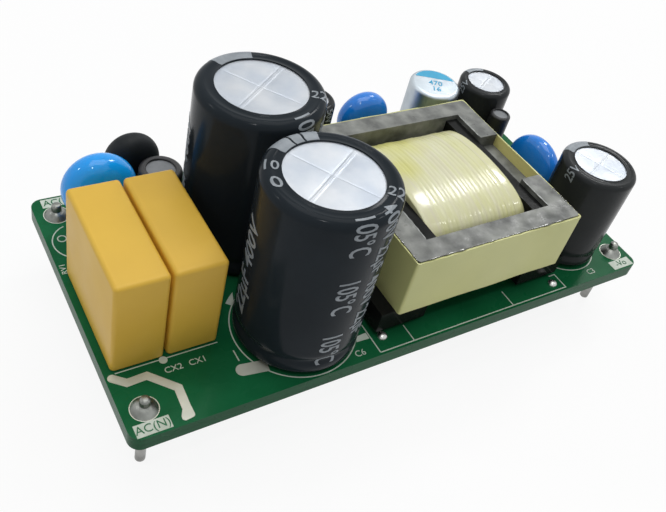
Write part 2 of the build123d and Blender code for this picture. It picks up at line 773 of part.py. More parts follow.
tubed_choke("input_choke", input_choke_x, input_choke_y, input_choke_diameter, input_choke_height,
            input_choke_top_diameter, drum_flange, drum_post_diameter)
tubed_choke("output_choke", output_choke_x, output_choke_y, output_choke_diameter, output_choke_height,
            output_choke_top_diameter, output_choke_flange, output_choke_post_diameter)
write("choke_leads",
      *lead_pair(input_choke_x, input_choke_y, input_choke_lead_pitch, choke_lead_diameter, 0),
      *lead_pair(output_choke_x, output_choke_y, output_choke_lead_pitch, choke_lead_diameter, 0, along_x=False))

transformer()
underside()
write("lead_solder", *lead_joints())
write("circuit_board", board())
print("board", round(board_length, 2), "x", round(board_width, 2), "leads", len(lead_spots))
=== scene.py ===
import bmesh
import bpy
import numpy as np
from mathutils import Matrix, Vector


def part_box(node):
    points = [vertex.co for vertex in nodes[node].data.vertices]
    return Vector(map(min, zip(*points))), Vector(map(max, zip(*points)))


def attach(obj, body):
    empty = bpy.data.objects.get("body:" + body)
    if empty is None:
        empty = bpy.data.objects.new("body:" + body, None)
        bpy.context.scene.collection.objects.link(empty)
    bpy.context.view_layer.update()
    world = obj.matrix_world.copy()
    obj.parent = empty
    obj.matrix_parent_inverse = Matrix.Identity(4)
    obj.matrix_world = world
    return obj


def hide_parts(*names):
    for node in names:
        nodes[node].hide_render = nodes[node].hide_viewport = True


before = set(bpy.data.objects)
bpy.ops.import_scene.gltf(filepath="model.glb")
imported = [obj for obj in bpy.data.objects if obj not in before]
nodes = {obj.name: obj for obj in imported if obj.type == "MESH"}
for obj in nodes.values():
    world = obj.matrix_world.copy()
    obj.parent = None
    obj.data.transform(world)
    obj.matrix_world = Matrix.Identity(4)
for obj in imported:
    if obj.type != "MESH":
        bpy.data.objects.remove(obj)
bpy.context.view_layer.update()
scene = bpy.context.scene
scene.view_settings.view_transform = "Standard"
mm = 0.001
fullTurn = 2 * np.pi
weld = 5e-7  # points nearer than this, in metres, are one
crease = 40  # edges bent by more than this, in degrees, stay sharp
mitreLimit = 0.4  # least cosine by which the corner of a line is mitred
ink = 0.02  # thickness of the legend
rng = np.random.default_rng(7)
print("frame loaded,", len(nodes), "nodes")


def nodeBox(name):  # corners of a CAD node in millimetres
    low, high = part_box(name)
    return np.array(low) / mm, np.array(high) / mm


boardLow, boardHigh = nodeBox("circuit_board")
boardCorner = boardLow[:2]  # front left corner, from which the legend is measured
boardTop, boardUnder = boardHigh[2], boardLow[2]
underFace = boardUnder - boardTop  # height of the lower face, counted from the upper one


def roundNode(name):  # middle, radius and height above the board of an upright round node
    low, high = nodeBox(name)
    return (low + high)[:2] / 2, (high[0] - low[0]) / 2, high[2] - boardTop


def placed(name, data):  # a new object in the scene
    thing = bpy.data.objects.new(name, data)
    scene.collection.objects.link(thing)
    return thing


def aimed(thing, right, up, back, place):  # an object turned by its axes and moved to a place in metres
    matrix = np.eye(4)
    matrix[:3] = np.stack([right, up, back, place], 1)
    thing.matrix_world = Matrix(matrix.tolist())


# camera matched to the photograph's vanishing points
cameraKit = {
    "place": (-46.53, -49.56, 69.02),
    "right": (0.85046082, -0.48763012, 0.19731514),
    "up": (0.20600033, 0.65386777, 0.72802528),
    "forward": (0.48402506, 0.57850999, -0.65654088),
    "lens": 43.85,
    "sensor": 36,
    "shift": (0.0133, -0.0643),
    "clip": (0.005, 20),
}
cameraData = bpy.data.cameras.new("photo_camera")
cameraData.sensor_width = cameraKit["sensor"]
cameraData.lens = cameraKit["lens"]
cameraData.shift_x, cameraData.shift_y = cameraKit["shift"]
cameraData.clip_start, cameraData.clip_end = cameraKit["clip"]
scene.camera = placed("photo_camera", cameraData)
aimed(scene.camera, cameraKit["right"], cameraKit["up"], -np.array(cameraKit["forward"]),
      np.array(cameraKit["place"]) * mm)
print("camera placed")


# A shape is its points in millimetres, the corner list of its faces, and each face's corner count.
# Quads join neighbouring rows and columns of a grid of points; a wrapped way joins its end to its start.
def gridShape(points, wrapRows=False, wrapColumns=False):
    rows, columns = points.shape[:2]
    i = np.arange(rows if wrapRows else rows - 1)[:, None]
    j = np.arange(columns if wrapColumns else columns - 1)[None, :]
    k, l = (i + 1) % rows, (j + 1) % columns
    quads = np.broadcast_arrays(i * columns + j, i * columns + l, k * columns + l, k * columns + j)
    corners = np.stack(quads, -1).reshape(-1)
    return points.reshape(-1, 3), corners, np.full(len(corners) // 4, 4)


# several shapes as one, with the later shapes' corners counted on from the earlier points
def together(shapes):
    points, corners, sizes = zip(*shapes)
    starts = np.cumsum([0] + [len(spots) for spots in points[:-1]])
    corners = [own + start for own, start in zip(corners, starts)]
    return np.concatenate(points), np.concatenate(corners), np.concatenate(sizes)


# thin closed slab: an outer and an inner sheet of the same grid, joined along all four edges
def slabShape(outer, inner):
    columns = outer.shape[1]
    points, corners, sizes = gridShape(np.concatenate([outer, inner[:, ::-1]], 1), wrapColumns=True)
    j = np.arange(columns - 1)
    end = np.stack([j, j + 1, 2 * columns - 2 - j, 2 * columns - 1 - j], -1)
    last = (outer.shape[0] - 1) * 2 * columns
    corners = np.concatenate([corners, end[:, ::-1].reshape(-1), (end + last).reshape(-1)])
    return points, corners, np.full(len(corners) // 4, 4)


# a stack of loops, closed by its first and its last loop
def cappedShape(rows):
    points, corners, sizes = gridShape(rows, wrapColumns=True)
    count = rows.shape[1]
    face = np.arange(count)
    last = (len(rows) - 1) * count
    return points, np.concatenate([corners, face[::-1], face + last]), np.append(sizes, [count, count])


def fullCircle(steps):  # angles spaced evenly round a circle
    return np.linspace(0, fullTurn, steps, endpoint=False)


# a side line of (radius, height above the board) points carried round an upright axis
def turnedShape(line, centre, steps=96, ring=False):
    angle = fullCircle(steps)
    radius, height = np.array(line, float).T
    x = centre[0] + np.outer(radius, np.cos(angle))
    y = centre[1] + np.outer(radius, np.sin(angle))
    z = boardTop + np.repeat(height[:, None], steps, 1)
    return gridShape(np.stack([x, y, z], -1), wrapRows=ring, wrapColumns=True)


def roundShoulder(radius, height, rim, steps):  # side line from a wall over a round edge
    bend = np.linspace(0, np.pi / 2, steps)
    return np.stack([radius - rim + rim * np.cos(bend), height - rim + rim * np.sin(bend)], 1)


# a closed loop with its points spaced evenly, and their outward directions
def evenLoop(x, y, count):
    x, y = np.append(x, x[0]), np.append(y, y[0])
    run = np.append(0, np.cumsum(np.hypot(np.diff(x), np.diff(y))))
    even = np.linspace(0, run[-1], count, endpoint=False)
    x, y = np.interp(even, run, x), np.interp(even, run, y)
    dx, dy = np.roll(x, -1) - np.roll(x, 1), np.roll(y, -1) - np.roll(y, 1)
    size = np.hypot(dx, dy)
    return np.stack([x, y], 1), np.stack([dy / size, -dx / size], 1)


def cornerBends(steps):  # angles round the four corners of a rectangle, and the corners' sides in x and y
    bend = np.linspace(0, np.pi / 2, steps)
    angle = np.concatenate([bend + k * np.pi / 2 for k in range(4)])
    return angle, np.repeat([1, -1, -1, 1], steps), np.repeat([1, 1, -1, -1], steps)


def roundedLoop(halfX, halfY, radius, count):  # rectangle with round corners
    angle, sideX, sideY = cornerBends(24)
    x = sideX * (halfX - radius) + radius * np.cos(angle)
    y = sideY * (halfY - radius) + radius * np.sin(angle)
    return evenLoop(x, y, count)


# signed power of a cosine or sine, for outlines between an ellipse and a rectangle
def squared(wave, square):
    return np.sign(wave) * abs(wave) ** (2 / square)


# box with round edges: each point is a corner of a smaller box plus the radius along its own direction
def softBox(low, high, radius, steps=6):
    around, sideX, sideY = cornerBends(steps)
    tilt = np.concatenate([around[:steps] - np.pi / 2, around[:steps]])
    sideZ = np.repeat([-1, 1], steps)
    middle, half = (low + high) / 2, (high - low) / 2 - radius
    x = middle[0] + sideX * half[0] + radius * np.outer(np.cos(tilt), np.cos(around))
    y = middle[1] + sideY * half[1] + radius * np.outer(np.cos(tilt), np.sin(around))
    z = middle[2] + np.repeat((sideZ * half[2] + radius * np.sin(tilt))[:, None], 4 * steps, 1)
    points, corners, sizes = gridShape(np.stack([x, y, z], -1), wrapColumns=True)
    cap = np.arange(4) * steps
    last = (len(tilt) - 1) * 4 * steps
    corners = np.concatenate([corners, cap[::-1], cap + last])
    return points, corners, np.append(sizes, [4, 4])


# flat line of ink or copper on the board: a path widened to both sides with mitred corners
def stripShape(path, width, level, rise, closed=False):
    path = np.array(path, float)
    ahead = np.roll(path, -1, 0) - path
    if not closed:
        ahead[-1] = ahead[-2]
    ahead /= np.linalg.norm(ahead, axis=1, keepdims=True)
    behind = np.roll(ahead, 1, 0)
    if not closed:
        behind[0] = ahead[0]
    along = ahead + behind
    along /= np.linalg.norm(along, axis=1, keepdims=True)
    reach = width / 2 / np.clip((along * ahead).sum(1), mitreLimit, 1)
    side = np.stack([-along[:, 1], along[:, 0]], 1) * reach[:, None]
    edges = [path + side, path - side]
    if closed:
        edges = [np.concatenate([edge, edge[:1]]) for edge in edges]
    flat = np.stack(edges, 1)
    outer = np.dstack([flat, np.full(flat.shape[:2], level + rise)])
    inner = np.dstack([flat, np.full(flat.shape[:2], level)])
    return slabShape(outer, inner)


# flat plate with a straight-sided outline
def plateShape(outline, level, rise):
    outline = np.array(outline, float)
    levels = (level, level + rise)
    return cappedShape(np.stack([np.column_stack([outline, np.full(len(outline), z)]) for z in levels]))


def circlePath(middle, radius, start, stop, steps):  # points of an arc, angles in degrees
    angle = np.radians(np.linspace(start, stop, steps))
    return np.stack([middle[0] + radius * np.cos(angle), middle[1] + radius * np.sin(angle)], 1)


def onBoard(path):  # points measured from the board's front left corner
    return np.array(path, float) + boardCorner


def meshPoints(mesh):  # a mesh's points as rows
    points = np.zeros(len(mesh.vertices) * 3, np.float32)
    mesh.vertices.foreach_get("co", points)
    return points.reshape(-1, 3).astype(float)


def meshCorners(mesh):  # the corner list of a mesh's faces
    corners = np.zeros(len(mesh.loops), np.int32)
    mesh.loops.foreach_get("vertex_index", corners)
    return corners


def turnedFlat(x, y, degrees):  # flat points turned about the origin
    a = np.radians(degrees)
    return np.stack([x * np.cos(a) - y * np.sin(a), x * np.sin(a) + y * np.cos(a)], 1)


letterKit = {"capital": 0.72, "weld": 1e-4, "round": 3}  # capital height over font size, weld in millimetres


# letters as a thin solid, x along the line and y up from its middle, cut in strips so that they can bend
def lettering(words, tall, squeeze=1.0, thick=0.03, cut=0.0, bold=0.012):
    curve = bpy.data.curves.new("letters", "FONT")
    curve.body = words
    curve.size = tall / letterKit["capital"]
    curve.offset = bold * tall
    curve.align_x, curve.align_y = "CENTER", "CENTER"
    curve.extrude = thick / 2
    curve.resolution_u = letterKit["round"]
    holder = placed("letters", curve)
    mesh = bpy.data.meshes.new_from_object(holder)
    reach = abs(meshPoints(mesh)[:, 0]).max()
    work = bmesh.new()
    work.from_mesh(mesh)
    bmesh.ops.remove_doubles(work, verts=work.verts, dist=letterKit["weld"])
    if cut:
        for axis, stop in ((1, tall), (0, reach)):
            normal = np.eye(3)[axis]
            for level in np.arange(-stop, stop, cut):
                everything = work.verts[:] + work.edges[:] + work.faces[:]
                bmesh.ops.bisect_plane(work, geom=everything, plane_co=normal * level, plane_no=normal)
    work.to_mesh(mesh)
    work.free()
    points, corners = meshPoints(mesh), meshCorners(mesh)
    sizes = np.zeros(len(mesh.polygons), np.int32)
    mesh.polygons.foreach_get("loop_total", sizes)
    bpy.data.objects.remove(holder)
    bpy.data.curves.remove(curve)
    bpy.data.meshes.remove(mesh)
    points[:, 0] *= squeeze
    return points, corners, sizes


# letters laid on the board, turned by an angle in degrees; below is seen from underneath
def boardLetters(words, tall, place, angle=0.0, below=False, lift=0.0):
    points, corners, sizes = lettering(words, tall, bold=0.0)
    flat = turnedFlat(points[:, 0] * (-1 if below else 1), points[:, 1], angle) + onBoard(place)
    level = boardUnder - ink - lift if below else boardTop + ink + lift
    return np.column_stack([flat, points[:, 2] + level]), corners, sizes


# a finished piece: doubles merged, faces turned outwards, creases kept sharp
def addPiece(name, shape, finish, replaced=()):
    points, corners, sizes = shape
    mesh = bpy.data.meshes.new(name)
    mesh.vertices.add(len(points))
    mesh.vertices.foreach_set("co", (points * mm).astype(np.float32).ravel())
    mesh.loops.add(len(corners))
    mesh.loops.foreach_set("vertex_index", corners.astype(np.int32))
    mesh.polygons.add(len(sizes))
    mesh.polygons.foreach_set("loop_start", (np.cumsum(sizes) - sizes).astype(np.int32))
    mesh.update(calc_edges=True)
    work = bmesh.new()
    work.from_mesh(mesh)
    bmesh.ops.remove_doubles(work, verts=work.verts, dist=weld)
    bmesh.ops.recalc_face_normals(work, faces=work.faces)
    work.to_mesh(mesh)
    work.free()
    mesh.shade_smooth()
    mesh.set_sharp_from_angle(angle=np.radians(crease))
    mesh.materials.append(finishes[finish])
    piece = placed(name, mesh)
    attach(piece, "root")
    if replaced:
        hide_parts(*replaced)


# shader group with named inputs and one output, round a noise whose scale is an input
def noiseGroup(name, detail, inputs, output):
    group = bpy.data.node_groups.new(name, "ShaderNodeTree")
    for label, kind in [("Scale", "NodeSocketFloat"), *inputs]:
        group.interface.new_socket(label, in_out="INPUT", socket_type=kind)
    group.interface.new_socket(output[0], in_out="OUTPUT", socket_type=output[1])
    given = group.nodes.new("NodeGroupInput").outputs
    result = group.nodes.new("NodeGroupOutput").inputs[0]
    noise = group.nodes.new("ShaderNodeTexNoise")
    noise.inputs["Detail"].default_value = detail
    place = group.nodes.new("ShaderNodeTexCoord")
    group.links.new(place.outputs["Object"], noise.inputs["Vector"])
    group.links.new(given["Scale"], noise.inputs["Scale"])
    return group, given, noise.outputs["Fac"], result


def feed(tree, value, socket):  # a link from another node, or a steady value
    if isinstance(value, bpy.types.NodeSocket):
        tree.links.new(value, socket)
    else:
        socket.default_value = value


def mixColours(tree, factor, first, second):  # first where the factor is 0
    mix = tree.nodes.new("ShaderNodeMix")
    mix.data_type = "RGBA"
    for index, value in ((0, factor), (6, first), (7, second)):
        feed(tree, value, mix.inputs[index])
    return mix.outputs[2]


def stretched(tree, value, low, high, start=0.0, stop=1.0):  # map a range of values, clamped
    span = tree.nodes.new("ShaderNodeMapRange")
    for label, number in (("Value", value), ("From Min", low), ("From Max", high), ("To Min", start),
                          ("To Max", stop)):
        feed(tree, number, span.inputs[label])
    return span.outputs["Result"]


def worked(tree, kind, operation, *values):  # the outputs of a math node on links or steady values
    node = tree.nodes.new(kind)
    node.operation = operation
    for value, socket in zip(values, node.inputs):
        feed(tree, value, socket)
    return node.outputs


def drawnNoise(tree, place, scale):  # noise drawn out along the axes with a small scale
    mapping = tree.nodes.new("ShaderNodeMapping")
    mapping.inputs["Scale"].default_value = scale
    noise = tree.nodes.new("ShaderNodeTexNoise")
    noise.inputs["Scale"].default_value = 1
    tree.links.new(place, mapping.inputs["Vector"])
    tree.links.new(mapping.outputs[0], noise.inputs["Vector"])
    return noise.outputs["Fac"]


# patches of two colours
mottle, given, noise, result = noiseGroup("mottle", 5, [
    ("Light", "NodeSocketColor"), ("Dark", "NodeSocketColor")], ("Color", "NodeSocketColor"))
patches = stretched(mottle, noise, 0.34, 0.66)
mottle.links.new(mixColours(mottle, patches, given["Dark"], given["Light"]), result)

# roughness that wanders between two values
unevenGloss, given, noise, result = noiseGroup("unevenGloss", 3, [
    ("Low", "NodeSocketFloat"), ("High", "NodeSocketFloat")], ("Roughness", "NodeSocketFloat"))
unevenGloss.links.new(stretched(unevenGloss, noise, 0.3, 0.7, given["Low"], given["High"]), result)

# fine relief as a normal, height in metres
fineRelief, given, noise, result = noiseGroup("fineRelief", 4, [("Height", "NodeSocketFloat")],
                                              ("Normal", "NodeSocketVector"))
bump = fineRelief.nodes.new("ShaderNodeBump")
fineRelief.links.new(noise, bump.inputs["Height"])
fineRelief.links.new(given["Height"], bump.inputs["Distance"])
fineRelief.links.new(bump.outputs["Normal"], result)


def addGroup(tree, group, values):  # a shared effect placed in a material with its own values
    node = tree.nodes.new("ShaderNodeGroup")
    node.node_tree = group
    for label, value in values.items():
        node.inputs[label].default_value = value
    return node


def rgba(colour):
    return (*colour, 1.0)


finishes = {}


# a finish from its two patch colours, patch scale, gloss range, and relief scale and height;
# steady shader values go on the shader's own sockets
def newFinish(name, light, dark, patch, gloss, relief, steady=None):
    material = bpy.data.materials.new(name)
    material.use_nodes = True
    tree = material.node_tree
    shader = tree.nodes["Principled BSDF"]
    colour = addGroup(tree, mottle, {"Light": rgba(light), "Dark": rgba(dark), "Scale": patch})
    rough = addGroup(tree, unevenGloss, {"Low": gloss[0], "High": gloss[1], "Scale": patch * 1.7})
    bumps = addGroup(tree, fineRelief, {"Scale": relief[0], "Height": relief[1] * mm})
    tree.links.new(colour.outputs["Color"], shader.inputs["Base Color"])
    tree.links.new(rough.outputs["Roughness"], shader.inputs["Roughness"])
    tree.links.new(bumps.outputs["Normal"], shader.inputs["Normal"])
    for label, value in (steady or {}).items():
        shader.inputs[label].default_value = value
    finishes[name] = material
    return material


def colourOf(material):  # tree, colour socket, the colour linked to it and the coordinates of a finish
    tree = material.node_tree
    socket = tree.nodes["Principled BSDF"].inputs["Base Color"]
    return tree, socket, socket.links[0].from_socket, tree.nodes.new("ShaderNodeTexCoord").outputs


def dress(finish, *names):  # CAD nodes that keep their own shape
    for name in names:
        nodes[name].material_slots[0].material = finishes[finish]


def shine(level, coat=None, coatRough=None):  # steady shader values for reflections
    values = {"Specular IOR Level": level, "Coat Weight": coat, "Coat Roughness": coatRough}
    return {label: value for label, value in values.items() if value is not None}


metal = {"Metallic": 1.0}
# finishes by name: the two patch colours, patch scale, gloss range, relief and steady values
finishKit = {
    "solder_tin": ((0.66, 0.655, 0.63), (0.46, 0.46, 0.445), 900, (0.18, 0.38), (900, 0.02), metal),
    "pin_tin": ((0.34, 0.34, 0.325), (0.22, 0.22, 0.21), 700, (0.3, 0.45), (1800, 0.006), metal),
    "pin_solder": ((0.31, 0.316, 0.294), (0.16, 0.165, 0.152), 700, (0.3, 0.5), (700, 0.02), metal),
    "bare_trace": ((0.62, 0.64, 0.56), (0.52, 0.54, 0.47), 500, (0.35, 0.5),
                   (700, 0.012), {"Metallic": 0.4}),
    "box_plastic": ((0.77, 0.485, 0.064), (0.73, 0.45, 0.056), 120, (0.36, 0.46),
                    (2600, 0.004), shine(0.33)),
    "sleeve_film": ((0.019, 0.025, 0.031), (0.015, 0.020, 0.025), 150, (0.12, 0.2),
                    (300, 0.004), shine(0.06)),
    # small cans' sleeve: the sleeve film made lighter, a painted sheen standing in for reflected light
    "small_sleeve_painted_sheen": ((0.030, 0.033, 0.034), (0.023, 0.025, 0.026), 150, (0.14, 0.24),
                     (300, 0.004), shine(0.09)),
    "sleeve_print": ((0.29, 0.32, 0.35), (0.21, 0.235, 0.26), 900, (0.4, 0.5), (900, 0.002)),
    "can_metal": ((0.45, 0.465, 0.485), (0.36, 0.39, 0.435), 320, (0.42, 0.54), (3200, 0.006), metal),
    "polymer_metal": ((0.50, 0.545, 0.58), (0.42, 0.47, 0.51), 500, (0.36, 0.46), (2500, 0.004), metal),
    "bung_rubber": ((0.03, 0.03, 0.03), (0.02, 0.02, 0.02), 500, (0.7, 0.85), (1500, 0.01)),
    "ferrite": ((0.25, 0.257, 0.236), (0.082, 0.086, 0.08), 480, (0.25, 0.6), (1400, 0.022), shine(0.4)),
    # lighter ferrite for the bars along the core's edges: painted edge highlights
    "painted_edge_highlight": ((0.42, 0.44, 0.42), (0.24, 0.25, 0.24), 900, (0.15, 0.35), (1400, 0.012)),
    "choke_ferrite": ((0.19, 0.20, 0.21), (0.15, 0.16, 0.17), 900, (0.4, 0.55), (1800, 0.008)),
    "bobbin_plastic": ((0.011, 0.0115, 0.011), (0.008, 0.0085, 0.008), 300, (0.12, 0.22),
                       (700, 0.02), shine(0.08)),
    "shrink_tube": ((0.012, 0.0125, 0.013), (0.009, 0.009, 0.010), 300, (0.4, 0.5), (700, 0.008)),
    "varistor_coating": ((0.008, 0.38, 1.0), (0.007, 0.33, 0.92), 160, (0.08, 0.14),
                         (350, 0.012), shine(0.26, 0.22, 0.06)),
    "blue_coating": ((0.007, 0.225, 0.80), (0.006, 0.185, 0.69), 160, (0.08, 0.14),
                     (350, 0.012), shine(0.36, 0.3, 0.06)),
    "black_coating": ((0.009, 0.011, 0.013), (0.006, 0.008, 0.009), 400, (0.5, 0.65),
                      (1600, 0.012), shine(0.2)),
    "copper_wire": ((0.60, 0.26, 0.11), (0.48, 0.19, 0.08), 800, (0.25, 0.4), (2600, 0.01), metal),
    "package_epoxy": ((0.024, 0.024, 0.026), (0.017, 0.017, 0.018), 900, (0.5, 0.65), (3200, 0.006)),
    "chip_ceramic": ((0.34, 0.22, 0.13), (0.28, 0.18, 0.10), 900, (0.45, 0.6), (2400, 0.004)),
    "chip_glaze": ((0.02, 0.022, 0.026), (0.014, 0.015, 0.018), 900, (0.2, 0.3), (2400, 0.002)),
    "legend_ink": ((0.63, 0.69, 0.61), (0.50, 0.57, 0.48), 700, (0.5, 0.65), (1600, 0.004)),
    "varnish_film": ((0.10, 0.10, 0.08), (0.05, 0.05, 0.04), 600, (0.04, 0.1),
                     (900, 0.02), {"Coat Weight": 1.0, "Coat Roughness": 0.03}),
    "polymer_blue": ((0.02, 0.40, 0.66), (0.018, 0.34, 0.58), 500, (0.35, 0.45), (1500, 0.003)),
    "mask_on_copper": ((0.014, 0.165, 0.062), (0.011, 0.135, 0.05), 160, (0.12, 0.2),
                       (420, 0.004), shine(0.32)),
}
for name, values in finishKit.items():
    newFinish(name, *values)

# solder mask over the faces, laminate with its glass layers on the cut edges
boardKit = {"mask": (0.010, 0.134, 0.050), "maskDark": (0.006, 0.100, 0.035), "edge": (0.016, 0.115, 0.047),
            "edgeDark": (0.006, 0.06, 0.022), "layers": (150, 150, 2600), "steep": (0.4, 0.6)}


def boardFinish():
    material = newFinish("solder_mask", boardKit["mask"], boardKit["maskDark"], 160, (0.24, 0.32),
                         (420, 0.004), shine(0.06, 0.035, 0.05))
    tree, socket, mask, place = colourOf(material)
    parts = tree.nodes.new("ShaderNodeSeparateXYZ")
    tree.links.new(place["Normal"], parts.inputs[0])
    upright = worked(tree, "ShaderNodeMath", "ABSOLUTE", parts.outputs["Z"])[0]
    onFace = stretched(tree, upright, *boardKit["steep"])
    layers = drawnNoise(tree, place["Object"], boardKit["layers"])
    edge = mixColours(tree, layers, rgba(boardKit["edgeDark"]), rgba(boardKit["edge"]))
    tree.links.new(mixColours(tree, onFace, edge, mask), socket)


boardFinish()

# core tape: film colour outside; on the faces that look towards the transformer's middle a bright yellow that
# is partly the adhesive's own colour and partly painted light passing through the tape
coreFilmKit = {"light": (0.66, 0.655, 0.28), "dark": (0.58, 0.585, 0.25), "adhesiveWithPaintedLight": (0.95, 0.86, 0.32),
               "inward": -0.002}


def coreTapeFinish():
    material = newFinish("core_tape_film", coreFilmKit["light"], coreFilmKit["dark"], 70, (0.32, 0.45),
                         (260, 0.02), shine(0.35))
    tree, socket, film, place = colourOf(material)
    low, high = nodeBox("transformer_core_tape")
    fromMiddle = worked(tree, "ShaderNodeVectorMath", "SUBTRACT", place["Object"], (low + high) / 2 * mm)[0]
    outward = worked(tree, "ShaderNodeVectorMath", "DOT_PRODUCT", fromMiddle, place["Normal"])["Value"]
    inside = stretched(tree, outward, 0.0, coreFilmKit["inward"])
    # inward faces: adhesive colour brightened with painted light passing through the tape
    tree.links.new(mixColours(tree, inside, film, rgba(coreFilmKit["adhesiveWithPaintedLight"])), socket)


coreTapeFinish()

# coil tape: bands of colour round the coil from the turns below, by noise drawn out along the winding,
# and yellower patches where the tape lies loose
coilFilmKit = {"light": (0.74, 0.735, 0.57), "dark": (0.67, 0.66, 0.32), "band": (0.67, 0.63, 0.48),
               "loose": (0.655, 0.635, 0.19), "turns": (1900, 25, 25), "bandRange": (0.40, 0.72, 0.0, 0.6),
               "patches": [((4.4, 3.0, 17.7), 4.4), ((2.2, -1.6, 18.5), 2.5)], "core": 0.3, "share": 0.8}


def coilTapeFinish():
    material = newFinish("coil_tape_film", coilFilmKit["light"], coilFilmKit["dark"], 85, (0.16, 0.24),
                         (500, 0.003), shine(0.4, 0.2, 0.05))
    tree, socket, colour, place = colourOf(material)
    turns = drawnNoise(tree, place["Object"], coilFilmKit["turns"])
    bands = stretched(tree, turns, *coilFilmKit["bandRange"])
    colour = mixColours(tree, bands, colour, rgba(coilFilmKit["band"]))
    for spot, radius in coilFilmKit["patches"]:
        away = worked(tree, "ShaderNodeVectorMath", "DISTANCE", place["Object"], np.array(spot) * mm)
        core = coilFilmKit["core"] * radius * mm
        near = stretched(tree, away["Value"], radius * mm, core, 0.0, coilFilmKit["share"])
        colour = mixColours(tree, near, colour, rgba(coilFilmKit["loose"]))
    tree.links.new(colour, socket)


coilTapeFinish()
print("finishes ready,", len(bpy.data.materials), "materials")

dress("solder_mask", "circuit_board")
dress("pin_tin", "transformer_pins", "package_leads", "package_heat_tabs", "chip_terminals",
      "box_capacitor_leads", "varistor_leads", "thermistor_leads", "disc_capacitor_leads", "choke_leads",
      "bulk_capacitor_leads", "small_capacitor_leads")
dress("ferrite", "transformer_core_left", "transformer_core_right")
dress("choke_ferrite", "input_choke_core", "output_choke_core")
dress("copper_wire", "input_choke_winding", "output_choke_winding")
dress("bobbin_plastic", "transformer_bobbin")
dress("package_epoxy", "bridge_rectifier", "control_circuit", "clamp_diode", "optocoupler",
      "voltage_reference", "switching_transistor", "output_rectifier")
dress("chip_glaze", "chip_resistors")
dress("chip_ceramic", "chip_capacitors")
dress("bung_rubber", *[name for name in nodes if name.endswith("_bung")])

# box capacitors: moulded case with soft edges on two long feet
boxKit = {"edge": 0.42, "footHeight": 0.15, "footWidth": 0.6, "footEdge": 0.06, "footSunk": 0.3}


def boxCapacitor(name):
    low, high = nodeBox(name)
    inset = boxKit["edge"]
    case = softBox(low - (0, 0, inset), high, inset)
    case[0][:, 2] = np.maximum(case[0][:, 2], low[2] + boxKit["footHeight"])  # sharp lower edge
    feet = []
    for x in (low[0] + inset, high[0] - inset - boxKit["footWidth"]):
        footLow = np.array([x, low[1] + inset, low[2]])
        footTop = low[2] + boxKit["footHeight"] + boxKit["footSunk"]
        footHigh = np.array([x + boxKit["footWidth"], high[1] - inset, footTop])
        feet.append(softBox(footLow, footHigh, boxKit["footEdge"], 3))
    addPiece(name + "_case", together([case, *feet]), "box_plastic", [name])


boxCapacitor("box_capacitor_left")
boxCapacitor("box_capacitor_right")
print("box capacitors made")

# electrolytic capacitors: sleeve line, scored can end and print on the sleeve
sleeveKit = {"foot": 0.4, "film": 0.15, "crimpDepth": 0.2, "crimpWidth": 0.42, "lipDish": 0.07, "tuck": 0.3,
             "tuckRun": 0.18, "lipDrop": 0.05, "inside": 0.45, "printFoot": 0.6, "printLip": 0.12,
             "printThick": 0.025, "letterLift": 0.02}
canKit = {"gap": 0.35, "drop": 0.2, "underLip": 0.15, "edge": 0.6, "foot": 0.45, "gather": 0.2,
          "crossValley": 0.45, "sideGroove": 0.4, "sideShift": 1.5, "crossGroove": 0.7}


# outside of a shrunk sleeve: tucked foot, crimp dip, straight wall, round shoulder and dished lip
def sleeveLine(radius, height, lip, rim, crimp):
    wall = np.linspace(sleeveKit["foot"], height - rim, 70)
    dip = sleeveKit["crimpDepth"] * np.exp(-((wall - crimp) / sleeveKit["crimpWidth"]) ** 2)
    tuck = sleeveKit["tuck"] * np.exp(-(wall - sleeveKit["foot"]) / sleeveKit["tuckRun"])
    across = np.linspace(0, 1, 16)[1:]
    dish = sleeveKit["lipDish"] * np.sin(np.pi * across)
    return np.concatenate([
        np.stack([radius - dip - tuck, wall], 1),
        roundShoulder(radius, height, rim, 16)[1:],
        np.stack([radius - rim - across * (radius - rim - lip), height - dish], 1)])


# points on a sleeve at a distance along its line, an angle round it and a lift off it
def onSleeve(line, centre, along, angle, lift):
    run = np.append(0, np.cumsum(np.hypot(*np.diff(line, axis=0).T)))
    slope = np.gradient(line, run, axis=0)
    radius = np.interp(along, run, line[:, 0]) + lift * np.interp(along, run, slope[:, 1])
    height = np.interp(along, run, line[:, 1]) - lift * np.interp(along, run, slope[:, 0])
    x, y = centre[0] + radius * np.cos(angle), centre[1] + radius * np.sin(angle)
    return np.stack([x, y, boardTop + height], -1)


# block of print between two angles and two distances along the sleeve
def printBlock(line, centre, low, high, first, last):
    span = np.radians(np.linspace(first, last, 14))
    along, angle = np.meshgrid(np.linspace(low, high, 90), span, indexing="ij")
    outer = onSleeve(line, centre, along, angle, sleeveKit["printThick"])
    return slabShape(outer, onSleeve(line, centre, along, angle, 0.0))


# row of letters along the sleeve; downwards reads from the lip to the foot
def printRow(line, centre, words, tall, squeeze, angle, middle, downwards=True):
    points, corners, sizes = lettering(words, tall, squeeze, cut=0.3)
    way = -1 if downwards else 1
    turn = np.radians(angle) - way * points[:, 1] / line[:, 0].max()
    lift = sleeveKit["letterLift"] + points[:, 2]
    spots = onSleeve(line, centre, middle + way * points[:, 0], turn, lift)
    return spots, corners, sizes


